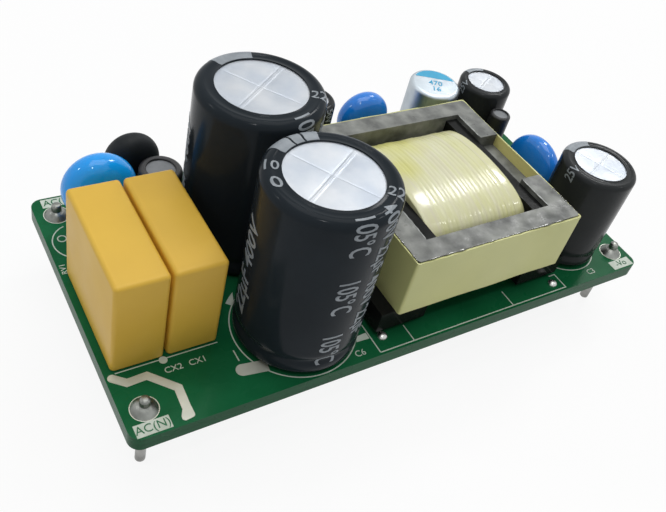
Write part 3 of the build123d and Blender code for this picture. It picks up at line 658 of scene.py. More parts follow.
# can end: a shallow valley along each scored line, a fine raised line in the first and a groove beside it
def scoredCan(centre, radius, height, end, score):
    u = fullCircle(192)
    lines = np.radians(score["angle"])
    angle = u + lines - canKit["gather"] * np.sin(4 * u)  # more points near the scored lines
    disc = np.linspace(0, 1, 40) * end
    across = np.outer(disc, np.sin(angle - lines))
    along = np.outer(disc, np.cos(angle - lines))
    valley = score["depth"] * np.exp(-abs(across) / score["wide"])
    valley += canKit["crossValley"] * score["depth"] * np.exp(-abs(along) / score["wide"])
    ridge = score["rise"] * np.exp(-(across / score["line"]) ** 4)
    beside = (across - canKit["sideShift"] * score["line"]) / score["fine"]
    groove = canKit["sideGroove"] * score["rise"] * np.exp(-beside ** 2)
    groove += canKit["crossGroove"] * score["rise"] * np.exp(-(along / score["fine"]) ** 2)
    inside = np.clip((end - disc) / score["wide"], 0, 1)[:, None]
    relief = (ridge - groove - valley) * inside
    sideLine = np.array([[radius, height - canKit["edge"]], [radius, canKit["foot"]], [0, canKit["foot"]]])
    radii = np.concatenate([disc, sideLine[:, 0]])
    heights = np.concatenate([height + relief, np.repeat(sideLine[:, 1:], len(u), 1)])
    x = centre[0] + np.outer(radii, np.cos(angle))
    y = centre[1] + np.outer(radii, np.sin(angle))
    return gridShape(np.stack([x, y, boardTop + heights], -1), wrapColumns=True)


def electrolytic(node, kit, film="sleeve_film"):
    centre, radius, height = roundNode(node + "_sleeve")
    lip, top = kit["lip"], height - sleeveKit["lipDrop"]
    line = sleeveLine(radius, top, lip, kit["rim"], kit["crimp"])
    innerRadius, innerTop = radius - sleeveKit["inside"], top - sleeveKit["film"]
    inside = [[lip, innerTop], [innerRadius, innerTop], [innerRadius, sleeveKit["foot"]]]
    addPiece(node + "_wrap", turnedShape(np.concatenate([line, inside]), centre, 128, ring=True), film,
             [node + "_sleeve"])
    can = scoredCan(centre, radius - canKit["gap"], height - canKit["drop"], lip + canKit["underLip"],
                    kit["score"])
    addPiece(node + "_case", can, "can_metal", [node + "_can"])
    run = np.hypot(*np.diff(line, axis=0).T).sum()
    low, high = sleeveKit["printFoot"], run - sleeveKit["printLip"]
    shapes = [printBlock(line, centre, low, high, first, last) for first, last in kit["stripes"]]
    for words, tall, squeeze, angle, middle, downwards in kit["rows"]:
        shapes.append(printRow(line, centre, words, tall, squeeze, angle, run - middle, downwards))
    addPiece(node + "_print", together(shapes), "sleeve_print")


bulkScore = {"line": 0.17, "rise": 0.03, "fine": 0.08, "depth": 0.07, "wide": 1.0}
smallScore = {"line": 0.12, "rise": 0.022, "fine": 0.06, "depth": 0.045, "wide": 0.65}
# rows of print: words, letter height, squeeze, angle, the middle's distance from the lip, reading down
electrolytic("bulk_capacitor_front", {
    "lip": 4.45, "rim": 0.9, "crimp": 2.2, "score": {**bulkScore, "angle": 33},
    "stripes": [(107.5, 127), (94, 105), (76.5, 91.5)],
    "rows": [("105°C", 2.1, 0.58, -95, 2.9, True), ("105°C", 2.1, 0.58, -95, 10.1, True),
             ("105°C", 2.1, 0.58, -95, 17.2, True),
             ("400V 22µF 400V 22µF", 1.9, 0.66, -67, 8.6, True), ("22", 1.5, 0.8, -42, 0.95, True),
             ("10", 1.4, 0.85, 151, 1.0, False), ("0", 1.6, 1.0, 175, 0.8, False),
             ("22µF 400V", 2.1, 0.85, 171, 11.5, False)]})
electrolytic("bulk_capacitor_back", {
    "lip": 4.45, "rim": 0.9, "crimp": 2.2, "score": {**bulkScore, "angle": 36},
    "stripes": [(75, 120)],
    "rows": [("105°C", 2.1, 0.62, -76, 2.9, True), ("105°C", 2.1, 0.62, -76, 10.2, True),
             ("400V 22µF 400V 22µF", 1.9, 0.62, -45, 9.9, True), ("22", 1.5, 0.8, -30, 0.95, True),
             ("22µF 400V", 2.1, 0.85, 162, 11.0, False)]})
electrolytic("output_capacitor_front", {
    "lip": 2.95, "rim": 0.55, "crimp": 1.8, "score": {**smallScore, "angle": 22},
    "stripes": [(70, 125)],
    "rows": [("25V", 1.2, 0.8, 178, 1.5, False), ("470µF 25V", 1.3, 0.8, -30, 6.5, True)]}, "small_sleeve_painted_sheen")
electrolytic("output_capacitor_back", {
    "lip": 2.3, "rim": 0.55, "crimp": 1.8, "score": {**smallScore, "angle": 30},
    "stripes": [(60, 115)],
    "rows": [("25V", 1.0, 0.8, 172, 1.3, False), ("100µF 25V", 1.1, 0.8, -30, 5.5, True)]}, "small_sleeve_painted_sheen")
electrolytic("supply_capacitor", {
    "lip": 1.8, "rim": 0.55, "crimp": 1.8, "score": {**smallScore, "angle": 30},
    "stripes": [(60, 115)],
    "rows": [("50V", 1.0, 0.8, -70, 1.6, True), ("10µF 50V", 1.0, 0.8, 0, 5.5, True)]}, "small_sleeve_painted_sheen")
print("electrolytic capacitors made")

# polymer capacitor: bare can with a round rim, a crimp and a printed segment on its end
polymerKit = {"rim": 0.5, "foot": 0.4, "crimp": 1.8, "crimpDepth": 0.3, "crimpWidth": 0.4,
              "segment": (-8, 128), "rows": (("470", 0.1), ("16", 1.35)), "turn": -30, "letter": 0.95,
              "squeeze": 0.9, "ink": 0.02, "sunk": 0.005, "letterLift": 0.01}


def polymerCapacitor():
    kit = polymerKit
    centre, radius, height = roundNode("polymer_capacitor_can")
    rim, foot, level = kit["rim"], kit["foot"], boardTop + height
    wall = np.linspace(foot, height - rim, 70)
    dip = kit["crimpDepth"] * np.exp(-((wall - kit["crimp"]) / kit["crimpWidth"]) ** 2)
    line = np.concatenate([[[0, foot]], np.stack([radius - dip, wall], 1),
                           roundShoulder(radius, height, rim, 14)[1:], [[0, height]]])
    addPiece("polymer_capacitor_case", turnedShape(line, centre, 96), "polymer_metal",
             ["polymer_capacitor_can"])
    segment = circlePath(centre, radius - rim, *kit["segment"], 40)
    shapes = [plateShape(segment, level - kit["sunk"], kit["ink"])]
    for words, drop in kit["rows"]:
        points, corners, sizes = lettering(words, kit["letter"], kit["squeeze"], kit["ink"])
        flat = turnedFlat(points[:, 0], points[:, 1] - drop, kit["turn"]) + centre
        shapes.append((np.column_stack([flat, points[:, 2] + level + kit["letterLift"]]), corners, sizes))
    addPiece("polymer_capacitor_print", together(shapes), "polymer_blue")


polymerCapacitor()

# dipped discs: a lens whose outline runs down over its two leads
discKit = {"square": 2.35, "runWidth": 0.19, "wander": 0.006}


# rim fraction and thickness follow a superellipse from one face's middle to the other's;
# the outline is a circle that reaches down over each lead, and wanders slightly
def dippedDisc(name, finish, alongX, pitch, lift):
    low, high = nodeBox(name)
    middle = (low + high) / 2
    half = (high - low) / 2
    radius = half[0] if alongX else half[1]
    thick = half[1] if alongX else half[0]
    middle[2] = high[2] - radius
    foot = middle[2] - low[2]
    around = fullCircle(128)
    across = np.linspace(0, np.pi, 49)
    rim = squared(np.sin(across), discKit["square"])
    depth = thick * squared(np.cos(across), discKit["square"])
    outline = radius * (1 - discKit["wander"] + discKit["wander"] * np.cos(3 * around + lift))
    for end in (-pitch / 2, pitch / 2):
        lead = np.arctan2(-foot, end) % fullTurn
        outline += (np.hypot(foot, end) - radius) * np.exp(-((around - lead) / discKit["runWidth"]) ** 2)
    side = np.outer(rim, outline * np.cos(around))
    up = middle[2] + np.outer(rim, outline * np.sin(around))
    through = np.repeat(depth[:, None], len(around), 1)
    if alongX:
        points = np.stack([middle[0] + side, middle[1] + through, up], -1)
    else:
        points = np.stack([middle[0] + through, middle[1] + side, up], -1)
    addPiece(name + "_body", gridShape(points, wrapColumns=True), finish, [name])


dippedDisc("varistor", "varistor_coating", True, 5.0, 0.4)
dippedDisc("thermistor", "black_coating", True, 4.0, 1.7)
dippedDisc("safety_capacitor", "blue_coating", True, 4.5, 2.9)
dippedDisc("output_disc_capacitor", "blue_coating", False, 5.0, 4.1)
print("discs made")

# shrink tube of a choke: straight wall that curls over the core's top with a soft edge
tubeKit = {"wall": 0.2, "edge": 0.06}


def shrinkTube(name, top, curl):
    centre, radius, height = roundNode(name)
    foot = nodeBox(name)[0][2] - boardTop
    edge, inner, under = tubeKit["edge"], radius - tubeKit["wall"], height - tubeKit["wall"]
    line = np.concatenate([[[inner, foot], [radius, foot]], roundShoulder(radius, height, curl, 12),
                           [[top + edge, height], [top, height - edge], [top, under], [inner, under]]])
    addPiece(name + "_film", turnedShape(line, centre, 72, ring=True), "shrink_tube", [name])


shrinkTube("input_choke_tube", 1.5, 0.45)
shrinkTube("output_choke_tube", 0.95, 0.3)
print("choke tubes made")

# coil: tape pulled tight over the wire turns, smooth at both margins
coilKit = {"pitch": 0.56, "ridge": 0.035, "leftMargin": 1.9, "rightMargin": 1.3, "square": 5, "crown": 0.95,
           "film": 0.28, "step": 0.04, "stepRun": 0.03, "uneven": 0.03, "roll": 0.12, "rollRun": 0.15,
           "over": 0.015, "back": 0.1, "end": 0.9, "frontGap": 0.65, "backGap": 0.35, "wire": 0.28,
           "wireDepth": 0.08, "wireGap": 0.06, "wireEnd": 0.02, "holeSquare": 12, "tension": (0.3, 1.2)}


# section: between an ellipse and a rectangle, lower towards front and back by the square of the distance
def coilSection():
    low, high = nodeBox("transformer_coil_tape")
    low, high = low + (0, coilKit["frontGap"], 0), high - (0, coilKit["backGap"], 0)
    half = (high - low) / 2
    around = fullCircle(800)
    across = squared(np.cos(around), coilKit["square"])
    height = half[2] - coilKit["crown"] * across ** 2
    loop, out = evenLoop(half[1] * across, height * squared(np.sin(around), coilKit["square"]), 200)
    return (low + high) / 2, half, loop, out


# the section's outward offset rises over each wire turn
def coilTape():
    middle, half, loop, out = coilSection()
    x = np.linspace(-half[0], half[0], 400)
    turns = (x / coilKit["pitch"]) % 1
    index = np.floor(x / coilKit["pitch"]).astype(int)
    tension = rng.uniform(*coilKit["tension"], index.max() - index.min() + 1)[index - index.min()]
    wave = np.sin(np.pi * turns) * tension
    left = 1 / (1 + np.exp(-(x + half[0] - coilKit["leftMargin"]) / coilKit["stepRun"]))
    right = 1 / (1 + np.exp((x - half[0] + coilKit["rightMargin"]) / coilKit["stepRun"]))
    slow = coilKit["uneven"] * np.sin(1.9 * x + 0.4)  # the turns below lie a little uneven
    rise = coilKit["step"] + (coilKit["ridge"] * wave + slow - coilKit["step"]) * left * right
    rise -= coilKit["roll"] * np.exp(-(half[0] - abs(x)) / coilKit["rollRun"])  # edges of the tape turn in
    stop = half[0] + coilKit["over"]  # ends carried down over the turns below, then back under the film
    back = half[0] - coilKit["back"]
    x = np.concatenate([x, [stop, stop, back, back, -back, -back, -stop, -stop]])
    under = [-coilKit["roll"], -coilKit["end"], -coilKit["end"], -coilKit["film"]]
    rise = np.concatenate([rise, under, under[::-1]])
    section = loop[None] + rise[:, None, None] * out[None]
    points = np.dstack([np.repeat(x[:, None], len(loop), 1), section]) + middle
    addPiece("transformer_coil_wrap", gridShape(points, wrapRows=True, wrapColumns=True), "coil_tape_film",
             ["transformer_coil_tape"])


# wire turns under the tape: the same section further in, with a dip between turns, closed along the tube
# of the bobbin
def coilWinding():
    middle, half, loop, out = coilSection()
    loop, out = loop[::2], out[::2]
    low, high = nodeBox("transformer_winding")
    centre = (low + high) / 2
    spots = abs(meshPoints(nodes["transformer_winding"].data) / mm - centre)[:, 1:]
    hole = spots[np.hypot(spots[:, 0], spots[:, 1]).argmin()]
    end = half[0] - coilKit["wireEnd"]
    x = np.arange(-end, end, coilKit["wire"] / 6)
    dip = coilKit["wireDepth"] * (1 - abs(np.sin(np.pi * x / coilKit["wire"])))
    depth = coilKit["film"] + coilKit["wireGap"] + dip
    outer = loop[None] - depth[:, None, None] * out[None] + middle[1:]
    angle = np.arctan2(loop[:, 1] * hole[0], loop[:, 0] * hole[1])
    compass = np.stack([np.cos(angle), np.sin(angle)], 1)
    inner = hole * squared(compass, coilKit["holeSquare"])
    section = np.concatenate([outer, np.repeat(inner[None] + centre[1:], 2, 0)])
    x = np.append(x, [x[-1], x[0]]) + middle[0]
    points = np.dstack([np.repeat(x[:, None], len(loop), 1), section])
    addPiece("transformer_wire_turns", gridShape(points, wrapRows=True, wrapColumns=True), "copper_wire",
             ["transformer_winding"])


coilTape()
coilWinding()

# tape round the core: a band whose face and upper edge wander a little, lapped at the back
coreTapeKit = {"corner": 0.35, "film": 0.28, "wander": 0.02, "lap": 0.06, "lapSide": 4, "lapDepth": 1,
               "edgeWave": 0.03, "edgeRipple": 0.015, "edgeDrop": 0.045}


def coreTape():
    kit = coreTapeKit
    low, high = nodeBox("transformer_core_tape")
    middle, half = (low + high) / 2, (high - low) / 2
    loop, out = roundedLoop(half[0], half[1], kit["corner"], 520)
    u = fullCircle(len(loop))
    v = np.linspace(-1, 1, 16)[:, None]
    wander = kit["wander"] * (np.sin(7 * u + 2)[None] * v + np.sin(11 * u + 1)[None])
    wander -= 2 * kit["wander"]
    lapped = (loop[:, 1] > half[1] - kit["lapDepth"]) & (abs(loop[:, 0]) < kit["lapSide"])
    wander += kit["lap"] * lapped[None] - kit["lap"]
    edge = kit["edgeWave"] * np.sin(5 * u + 0.6) + kit["edgeRipple"] * np.sin(13 * u)
    face = loop[None] + wander[..., None] * out[None]
    tall = middle[2] + half[2] * v + np.where(v > 0.9, edge[None] - kit["edgeDrop"], 0)
    outer = np.dstack([face + middle[:2], tall])
    innerLoop = np.repeat((loop - kit["film"] * out)[None], 2, 0) + middle[:2]
    inner = np.dstack([innerLoop, np.stack([tall[-1], np.full(len(loop), low[2])])])
    band = gridShape(np.concatenate([outer, inner]), wrapRows=True, wrapColumns=True)
    addPiece("transformer_core_band", band, "core_tape_film", ["transformer_core_tape"])


coreTape()

# varnish along the seam between core and tape: a low bead whose width wanders and fades at both ends
varnishKit = {"widest": 0.17, "mean": 0.25, "least": 0.12, "flat": 0.5, "inset": 0.5, "seam": 0.3,
              "sideRun": 6}


def varnishBead(start, stop, seed):
    way = np.linspace(0, 1, 360)
    wander = sum(np.sin(k * (way * 9 + seed * k)) for k in (1, 2.3, 4.1, 7.7)) / 4
    share = np.clip(varnishKit["mean"] + wander, varnishKit["least"], 1)
    radius = varnishKit["widest"] * share * np.sin(np.pi * way) ** 0.25
    around = fullCircle(14)
    along = (stop - start) / np.linalg.norm(stop - start)
    side = np.array([-along[1], along[0], 0])
    middle = start + way[:, None] * (stop - start)
    up = np.array([0, 0, varnishKit["flat"]])
    out = np.cos(around)[:, None] * side + np.sin(around)[:, None] * up
    points = middle[:, None] + radius[:, None, None] * out[None]
    return gridShape(points, wrapColumns=True)


def varnish():
    low, high = nodeBox("transformer_core_tape")
    inset, seam = varnishKit["inset"], varnishKit["seam"]
    level = nodeBox("transformer_core_left")[1][2]
    front, back = low[1] + inset, low[1] + varnishKit["sideRun"]
    left, right = low[0] + seam, high[0] - seam
    runs = [((low[0] + inset, low[1] + seam), (high[0] - inset, low[1] + seam), 0.7),
            ((left, front), (left, back), 2.1), ((right, front), (right, back), 3.4)]
    beads = [varnishBead(np.array([*start, level]), np.array([*stop, level]), seed)
             for start, stop, seed in runs]
    addPiece("core_varnish", together(beads), "varnish_film")


varnish()

# painted highlights on the core's edges round the winding window: thin rounded bars, lighter than the
# ferrite, that fade at both ends
edgeKit = {"widest": 0.11, "flat": 0.35,
           "runs": [((14.78, -11.2), (14.78, -7.1)), ((14.78, 0.8), (14.78, 4.8)),
                    ((-1.42, -11.2), (-1.42, -7.1)), ((-1.42, 0.8), (-1.42, 4.8))]}


def paintedEdgeHighlights():
    level = nodeBox("transformer_core_left")[1][2]
    way = np.linspace(0, 1, 60)
    around = fullCircle(12)
    out = np.stack([np.cos(around), 0 * around, edgeKit["flat"] * np.sin(around)], -1)
    radius = edgeKit["widest"] * np.sin(np.pi * way) ** 0.3 * (0.8 + 0.2 * np.sin(23 * way))
    shapes = []
    for start, stop in edgeKit["runs"]:
        middle = np.array([*start, level]) + way[:, None] * np.array([*np.subtract(stop, start), 0])
        shapes.append(gridShape(middle[:, None] + radius[:, None, None] * out[None], wrapColumns=True))
    addPiece("core_edges", together(shapes), "painted_edge_highlight")


paintedEdgeHighlights()
print("transformer dressed")


# middles of a node's separate round ends at its lowest level: vertices within one end's width share a label
def roundEnds(name, width):
    spots = meshPoints(nodes[name].data) / mm
    spots = spots[spots[:, 2] < spots[:, 2].min() + jointKit["level"]][:, :2]
    near = np.linalg.norm(spots[:, None] - spots[None], axis=2) < width
    labels = near.argmax(1)
    return np.array([spots[labels == label].mean(0) for label in np.unique(labels)])


# solder: a concave line from the pad to the neck, upwards or downwards from a level
jointKit = {"foot": 0.85, "neck": 0.33, "height": 0.82, "curve": 2.4, "level": 0.01, "vary": 0.1,
            "end": [(0.7, 0.07), (0, 0.08)]}  # end points: share of the neck, drop below the line
pinSolderKit = {"foot": 1.27, "neck": 0.6, "height": 0.66, "curve": 0.72, "overlap": 0.01,
                "cap": [(0.51, 0.74), (0.5, 1.2), (0.47, 1.36), (0.38, 1.47), (0.2, 1.525), (0, 1.53)]}
pinKit = {"tip": 0.5, "shank": 0.7, "head": 0.44, "shoulder": -2.6, "step": 0.3, "slope": 0.1, "top": 1.42,
          "chamfer": 0.2}
leadSpots = roundEnds("lead_solder", 0.8)
pinSpots = roundEnds("terminal_pins", 1.2)


def hollowLine(kit, steps, level, way):
    rise = np.linspace(0, 1, steps)
    radius = kit["neck"] + (kit["foot"] - kit["neck"]) * (1 - rise) ** kit["curve"]
    return np.stack([radius, level + way * kit["height"] * rise], 1)


def leadJoints():
    kit = jointKit
    end = [(kit["neck"] * share, underFace - kit["height"] - drop) for share, drop in kit["end"]]
    line = np.concatenate([[[0, underFace]], hollowLine(kit, 9, underFace, -1), end])
    shapes = [turnedShape(line * (1 + kit["vary"] * rng.random(), 1), spot, 24) for spot in leadSpots]
    addPiece("lead_joints", together(shapes), "solder_tin", ["lead_solder"])


def pinJoints():
    kit = pinSolderKit
    inner = kit["neck"] - kit["overlap"]
    above = np.concatenate([[[0, 0]], hollowLine(kit, 12, 0, 1), kit["cap"]])
    below = np.concatenate([[[inner, underFace]], hollowLine(kit, 12, underFace, -1),
                            [[inner, underFace - kit["height"]]]])
    shapes = [turnedShape(above, spot, 40) for spot in pinSpots]
    shapes += [turnedShape(below, spot, 40, ring=True) for spot in pinSpots]
    addPiece("pin_joints", together(shapes), "pin_solder", ["terminal_solder"])


# terminal pin: free end, shank through the board from its shoulder, and a thinner head above the solder
def terminalPins():
    kit = pinKit
    tip = -boardTop
    line = [(0, tip), (kit["tip"] - kit["chamfer"], tip), (kit["tip"], tip + kit["chamfer"]),
            (kit["tip"], kit["shoulder"]), (kit["shank"], kit["shoulder"]), (kit["shank"], kit["step"]),
            (kit["head"], kit["step"] + kit["slope"]), (kit["head"], kit["top"] - kit["chamfer"]),
            (kit["head"] - kit["chamfer"], kit["top"]), (0, kit["top"])]
    addPiece("corner_pins", together([turnedShape(line, spot, 40) for spot in pinSpots]), "pin_tin",
             ["terminal_pins"])


leadJoints()
pinJoints()
terminalPins()
print("solder made,", len(leadSpots), "lead joints")

# legend on the upper face, measured from the front left corner
thickInk = 1.4 * ink
legend = []


def inkLine(path, width=0.12, closed=False):
    legend.append(stripShape(onBoard(path), width, boardTop, ink, closed))


def inkPlate(outline, rise=ink):
    legend.append(plateShape(onBoard(outline), boardTop, rise))


def inkCircle(middle, radius):
    inkLine(circlePath(middle, radius, 0, 360, 97)[:-1], closed=True)


def inkBox(low, high):
    inkPlate([low, (high[0], low[1]), high, (low[0], high[1])])


def inkWords(words, tall, place, angle=0.0):
    legend.append(boardLetters(words, tall, place, angle))


bulkSpot = (18.81, 6.52)  # silk circle of the front bulk capacitor
inkLine([(1.0, 7.12), (10.9, 7.12)], 0.1)  # front of the box capacitors
inkPlate(circlePath((5.46, 7.0), 0.4, 0, 345, 24), thickInk)
inkWords("CX2", 0.66, (6.0, 5.8))
inkWords("CX1", 0.66, (8.35, 5.8))
for middle, radius in ((bulkSpot, 6.34), ((55.0, 6.2), 4.3), ((54.68, 25.5), 3.4),
                       ((48.08, 27.32), 3.3), ((30.2, 27.07), 2.75), ((11.7, 24.75), 2.4)):
    inkCircle(middle, radius)
inkPlate([*circlePath(bulkSpot, 6.34, 133, 138, 4), *circlePath(bulkSpot, 7.0, 138, 124, 8)])
inkLine([(25.35, 0.3), (51.0, 0.3), (51.0, 2.3), (50.1, 2.3)])  # transformer
inkLine([(25.35, 24.3), (25.35, 0.3)])
inkLine([(29.5, 0.3), (29.5, 2.4)])
inkLine([(43.0, 0.3), (43.0, 2.4)])
inkPlate([(23.7, 2.25), (25.2, 2.2), (25.2, 2.95), (23.95, 2.85)], thickInk)
inkLine([(11.9, 5.7), (11.9, 4.4)])
inkWords("C6", 0.72, (23.35, 0.95))
inkWords("C3", 0.72, (55.9, 1.1))
inkLine([*circlePath((3.0, 24.0), 2.45, 108, 245, 40), (9.0, 21.7)])  # varistor
inkCircle((1.61, 24.68), 0.42)
inkWords("RV1", 0.6, (0.55, 20.6), 90)
inkLine([(35.0, 25.7), (42.0, 25.7), (42.0, 29.9), (35.0, 29.9)], closed=True)
inkLine([(53.6, 10.4), (57.8, 10.4), (57.8, 18.8), (53.6, 18.8)], closed=True)
inkWords("CY1", 0.7, (44.0, 29.6))
inkBox((0.55, 0.22), (3.75, 1.5))  # terminal labels
inkBox((1.1, 29.5), (4.3, 30.78))
inkBox((59.2, 0.22), (62.4, 1.45))
inkBox((58.7, 29.6), (61.9, 30.78))
addPiece("board_legend", together(legend), "legend_ink")

labels = [boardLetters(words, 0.82, place, lift=ink) for words, place in (
    ("AC(N)", (2.15, 0.86)), ("AC(L)", (2.7, 30.14)), ("-Vo", (60.8, 0.84)), ("+Vo", (60.3, 30.2)))]
addPiece("terminal_labels", together(labels), "mask_on_copper")

# bare tinned copper on the upper face: runs, a round corner pad and the round ends of the runs
bareKit = {"runs": [([(0.6, 6.7), (1.64, 5.82), (3.5, 5.92), (5.6, 3.72), (5.45, 0.95)], 0.82),
                    ([(11.75, 3.35), (14.2, 3.0)], 1.3)],
           "runThick": 0.035, "padThick": 0.055, "ends": [((0.6, 6.7), 0.41), ((11.75, 3.35), 0.65)],
           "endThick": 0.05, "pinPad": [(0.0, 0), (1.32, 0), (1.32, 0.03), (0, 0.03)],
           "leadPad": [(0.0, 0), (0.75, 0), (0.72, 0.03), (0, 0.05)],
           "dots": [(49.75, 1.3), (26.6, 2.0)], "dotSize": (0.55, 0.4)}
bare = [stripShape(onBoard(path), width, boardTop, bareKit["runThick"]) for path, width in bareKit["runs"]]
bare.append(plateShape(onBoard([(5.06, 1.5), (4.74, 0.9), *circlePath((5.0, 0.66), 0.3, 170, 275, 14),
                                *circlePath((5.6, 0.74), 0.3, -85, 5, 14), (5.9, 1.5)]),
                       boardTop, bareKit["padThick"]))
for place, radius in bareKit["ends"]:
    bare.append(plateShape(onBoard(circlePath(place, radius, 0, 345, 24)), boardTop, bareKit["endThick"]))
bare += [turnedShape(bareKit["pinPad"], spot, 40) for spot in pinSpots]
bare += [turnedShape(bareKit["leadPad"], spot, 28) for spot in leadSpots]
addPiece("bare_copper", together(bare), "bare_trace")
bend = np.linspace(0, np.pi / 2, 9)
dome = np.stack([np.cos(bend), np.sin(bend)], 1) * bareKit["dotSize"]
dots = [turnedShape([(0, 0), *dome], onBoard(spot), 32) for spot in bareKit["dots"]]
addPiece("solder_dots", together(dots), "solder_tin")
print("legend made")

# masked copper underneath: pours from the terminals through rectifier, switch and transformer to the output
copperKit = {"film": 0.03, "pours": [
    [(0.7, 0.9), (4.2, 0.9), (5.2, 2.2), (5.2, 6.4), (10.4, 6.4), (13.0, 8.8), (13.0, 11.4), (11.6, 11.4),
     (11.6, 10.2), (1.8, 10.2), (0.7, 8.8)],
    [(0.7, 26.7), (4.2, 26.7), (6.0, 27.3), (9.7, 27.3), (9.7, 30.3), (0.7, 30.3)],
    [(12.0, 23.3), (14.4, 23.3), (14.4, 30.3), (10.8, 30.3), (10.8, 27.4), (12.0, 26.6)],
    [(1.8, 17.6), (10.2, 17.6), (11.5, 16.2), (13.0, 16.2), (13.0, 18.6), (10.6, 21.2), (11.4, 23.6),
     (11.4, 26.0), (6.6, 26.0), (6.6, 20.6), (1.8, 20.6)],
    [(13.8, 9.6), (15.4, 7.4), (21.2, 7.4), (22.4, 9.0), (22.4, 11.0), (29.0, 11.0), (29.0, 13.6),
     (21.4, 13.6), (20.6, 18.4), (16.9, 18.4), (16.9, 11.6), (13.8, 11.6)],
    [(13.8, 16.2), (16.1, 16.2), (16.1, 19.6), (21.4, 19.6), (24.2, 22.4), (30.2, 23.4), (30.2, 28.6),
     (26.8, 28.6), (22.0, 24.8), (15.4, 24.8), (15.4, 20.8), (13.8, 19.4)],
    [(16.8, 2.6), (19.6, 0.9), (33.4, 0.9), (33.4, 1.6), (26.4, 1.75), (21.2, 5.6), (17.4, 5.6), (16.8, 5.0)],
    [(26.8, 15.4), (29.6, 15.2), (29.8, 13.2), (36.6, 13.2), (36.6, 17.8), (29.6, 17.8), (26.8, 17.6)],
    [(39.9, 13.2), (46.9, 13.2), (46.9, 15.2), (49.6, 15.2), (49.6, 18.0), (39.9, 18.0)],
    [(48.3, 26.2), (51.8, 24.2), (52.6, 20.9), (55.2, 20.9), (55.2, 22.8), (54.5, 24.0), (54.5, 27.0),
     (50.4, 28.8), (48.3, 28.8)],
    [(55.6, 20.85), (62.3, 20.85), (62.3, 30.2), (58.4, 30.2), (57.6, 28.6), (57.6, 23.2), (55.6, 22.6)],
    [(57.6, 0.9), (62.3, 0.9), (62.3, 19.95), (55.2, 19.95), (54.4, 18.4), (54.4, 15.9), (57.0, 15.6),
     (57.0, 6.0), (53.6, 5.6), (47.2, 5.2), (47.2, 2.7), (53.6, 3.2), (57.0, 3.0)],
    [(47.4, 11.2), (52.0, 11.2), (53.6, 6.8), (56.4, 6.8), (56.4, 13.3), (47.4, 13.3)]], "traces": [
    ([(2.9, 24.95), (1.2, 23.2), (1.2, 10.9)], 0.9),
    ([(34.2, 25.0), (36.0, 26.1), (42.0, 26.1), (43.8, 23.4)], 0.5),
    ([(45.7, 23.3), (46.83, 25.0), (46.83, 26.4)], 0.5), ([(34.5, 7.9), (36.4, 8.9), (37.4, 8.9)], 0.5),
    ([(38.9, 17.9), (40.2, 19.2), (44.6, 19.6)], 0.5), ([(33.0, 18.2), (31.6, 19.6), (31.6, 22.6)], 0.5),
    ([(42.8, 7.0), (42.8, 8.2), (39.0, 8.6)], 0.6), ([(27.93, 8.12), (30.2, 8.0), (32.8, 7.8)], 0.6)]}
film = copperKit["film"]
below = [plateShape(onBoard(pour), boardUnder - film, film) for pour in copperKit["pours"]]
below += [stripShape(onBoard(path), width, boardUnder - film, film) for path, width in copperKit["traces"]]
addPiece("underside_copper", together(below), "mask_on_copper")

# pads of leads, pins and flat feet underneath, and the solder of the feet
footKit = {"steps": ((0.2, 0.04), (0.13, 0.06), (0.07, 0.11), (0.02, 0.19)), "corner": 0.08, "points": 40,
           "pad": 0.32, "padCorner": 0.1, "padThick": 0.045, "near": 0.06}
padFace = underFace - footKit["padThick"]
pads = [turnedShape([(0.0, underFace), (size, underFace), (size, padFace), (0, padFace)], spot, 32)
        for spots, size in ((leadSpots, 0.98), (pinSpots, 1.65)) for spot in spots]


# separate solids of a node: points that share triangles take the lowest label among them
def solidsOf(name):
    mesh = nodes[name].data
    points, place = np.unique((meshPoints(mesh) / mm).round(3), axis=0, return_inverse=True)
    triangles = place.ravel()[meshCorners(mesh).reshape(-1, 3)]
    labels = np.arange(len(points))
    while True:
        lowest = labels.copy()
        np.minimum.at(lowest, triangles, labels[triangles].min(1)[:, None])
        if (lowest == labels).all():
            return [points[labels == label] for label in np.unique(labels)]
        labels = lowest


def footLoop(low, high, grow, corner):  # rounded outline round a flat foot
    return roundedLoop(*((high - low) / 2 + grow), corner, footKit["points"])[0] + (low + high) / 2


# solder round a flat foot: rounded outlines that shrink as they rise off the pad in a hollow curve
def footSolder(low, high):
    rows = []
    for grow, rise in footKit["steps"]:
        loop = footLoop(low, high, grow, footKit["corner"])
        rows.append(np.column_stack([loop, np.full(len(loop), boardUnder - rise)]))
    return cappedShape(np.stack(rows))


def footPad(low, high):
    loop = footLoop(low, high, footKit["pad"], footKit["padCorner"])
    return plateShape(loop, boardUnder - footKit["padThick"], footKit["padThick"])


feet = []
for name in ("package_leads", "package_heat_tabs", "chip_terminals"):
    for points in solidsOf(name):
        flat = points[points[:, 2] > boardUnder - footKit["near"]][:, :2]
        feet.append((flat.min(0), flat.max(0)))
pads += [footPad(low, high) for low, high in feet]
addPiece("underside_pads", together(pads), "bare_trace")
addPiece("foot_solder", together([footSolder(low, high) for low, high in feet]), "solder_tin")

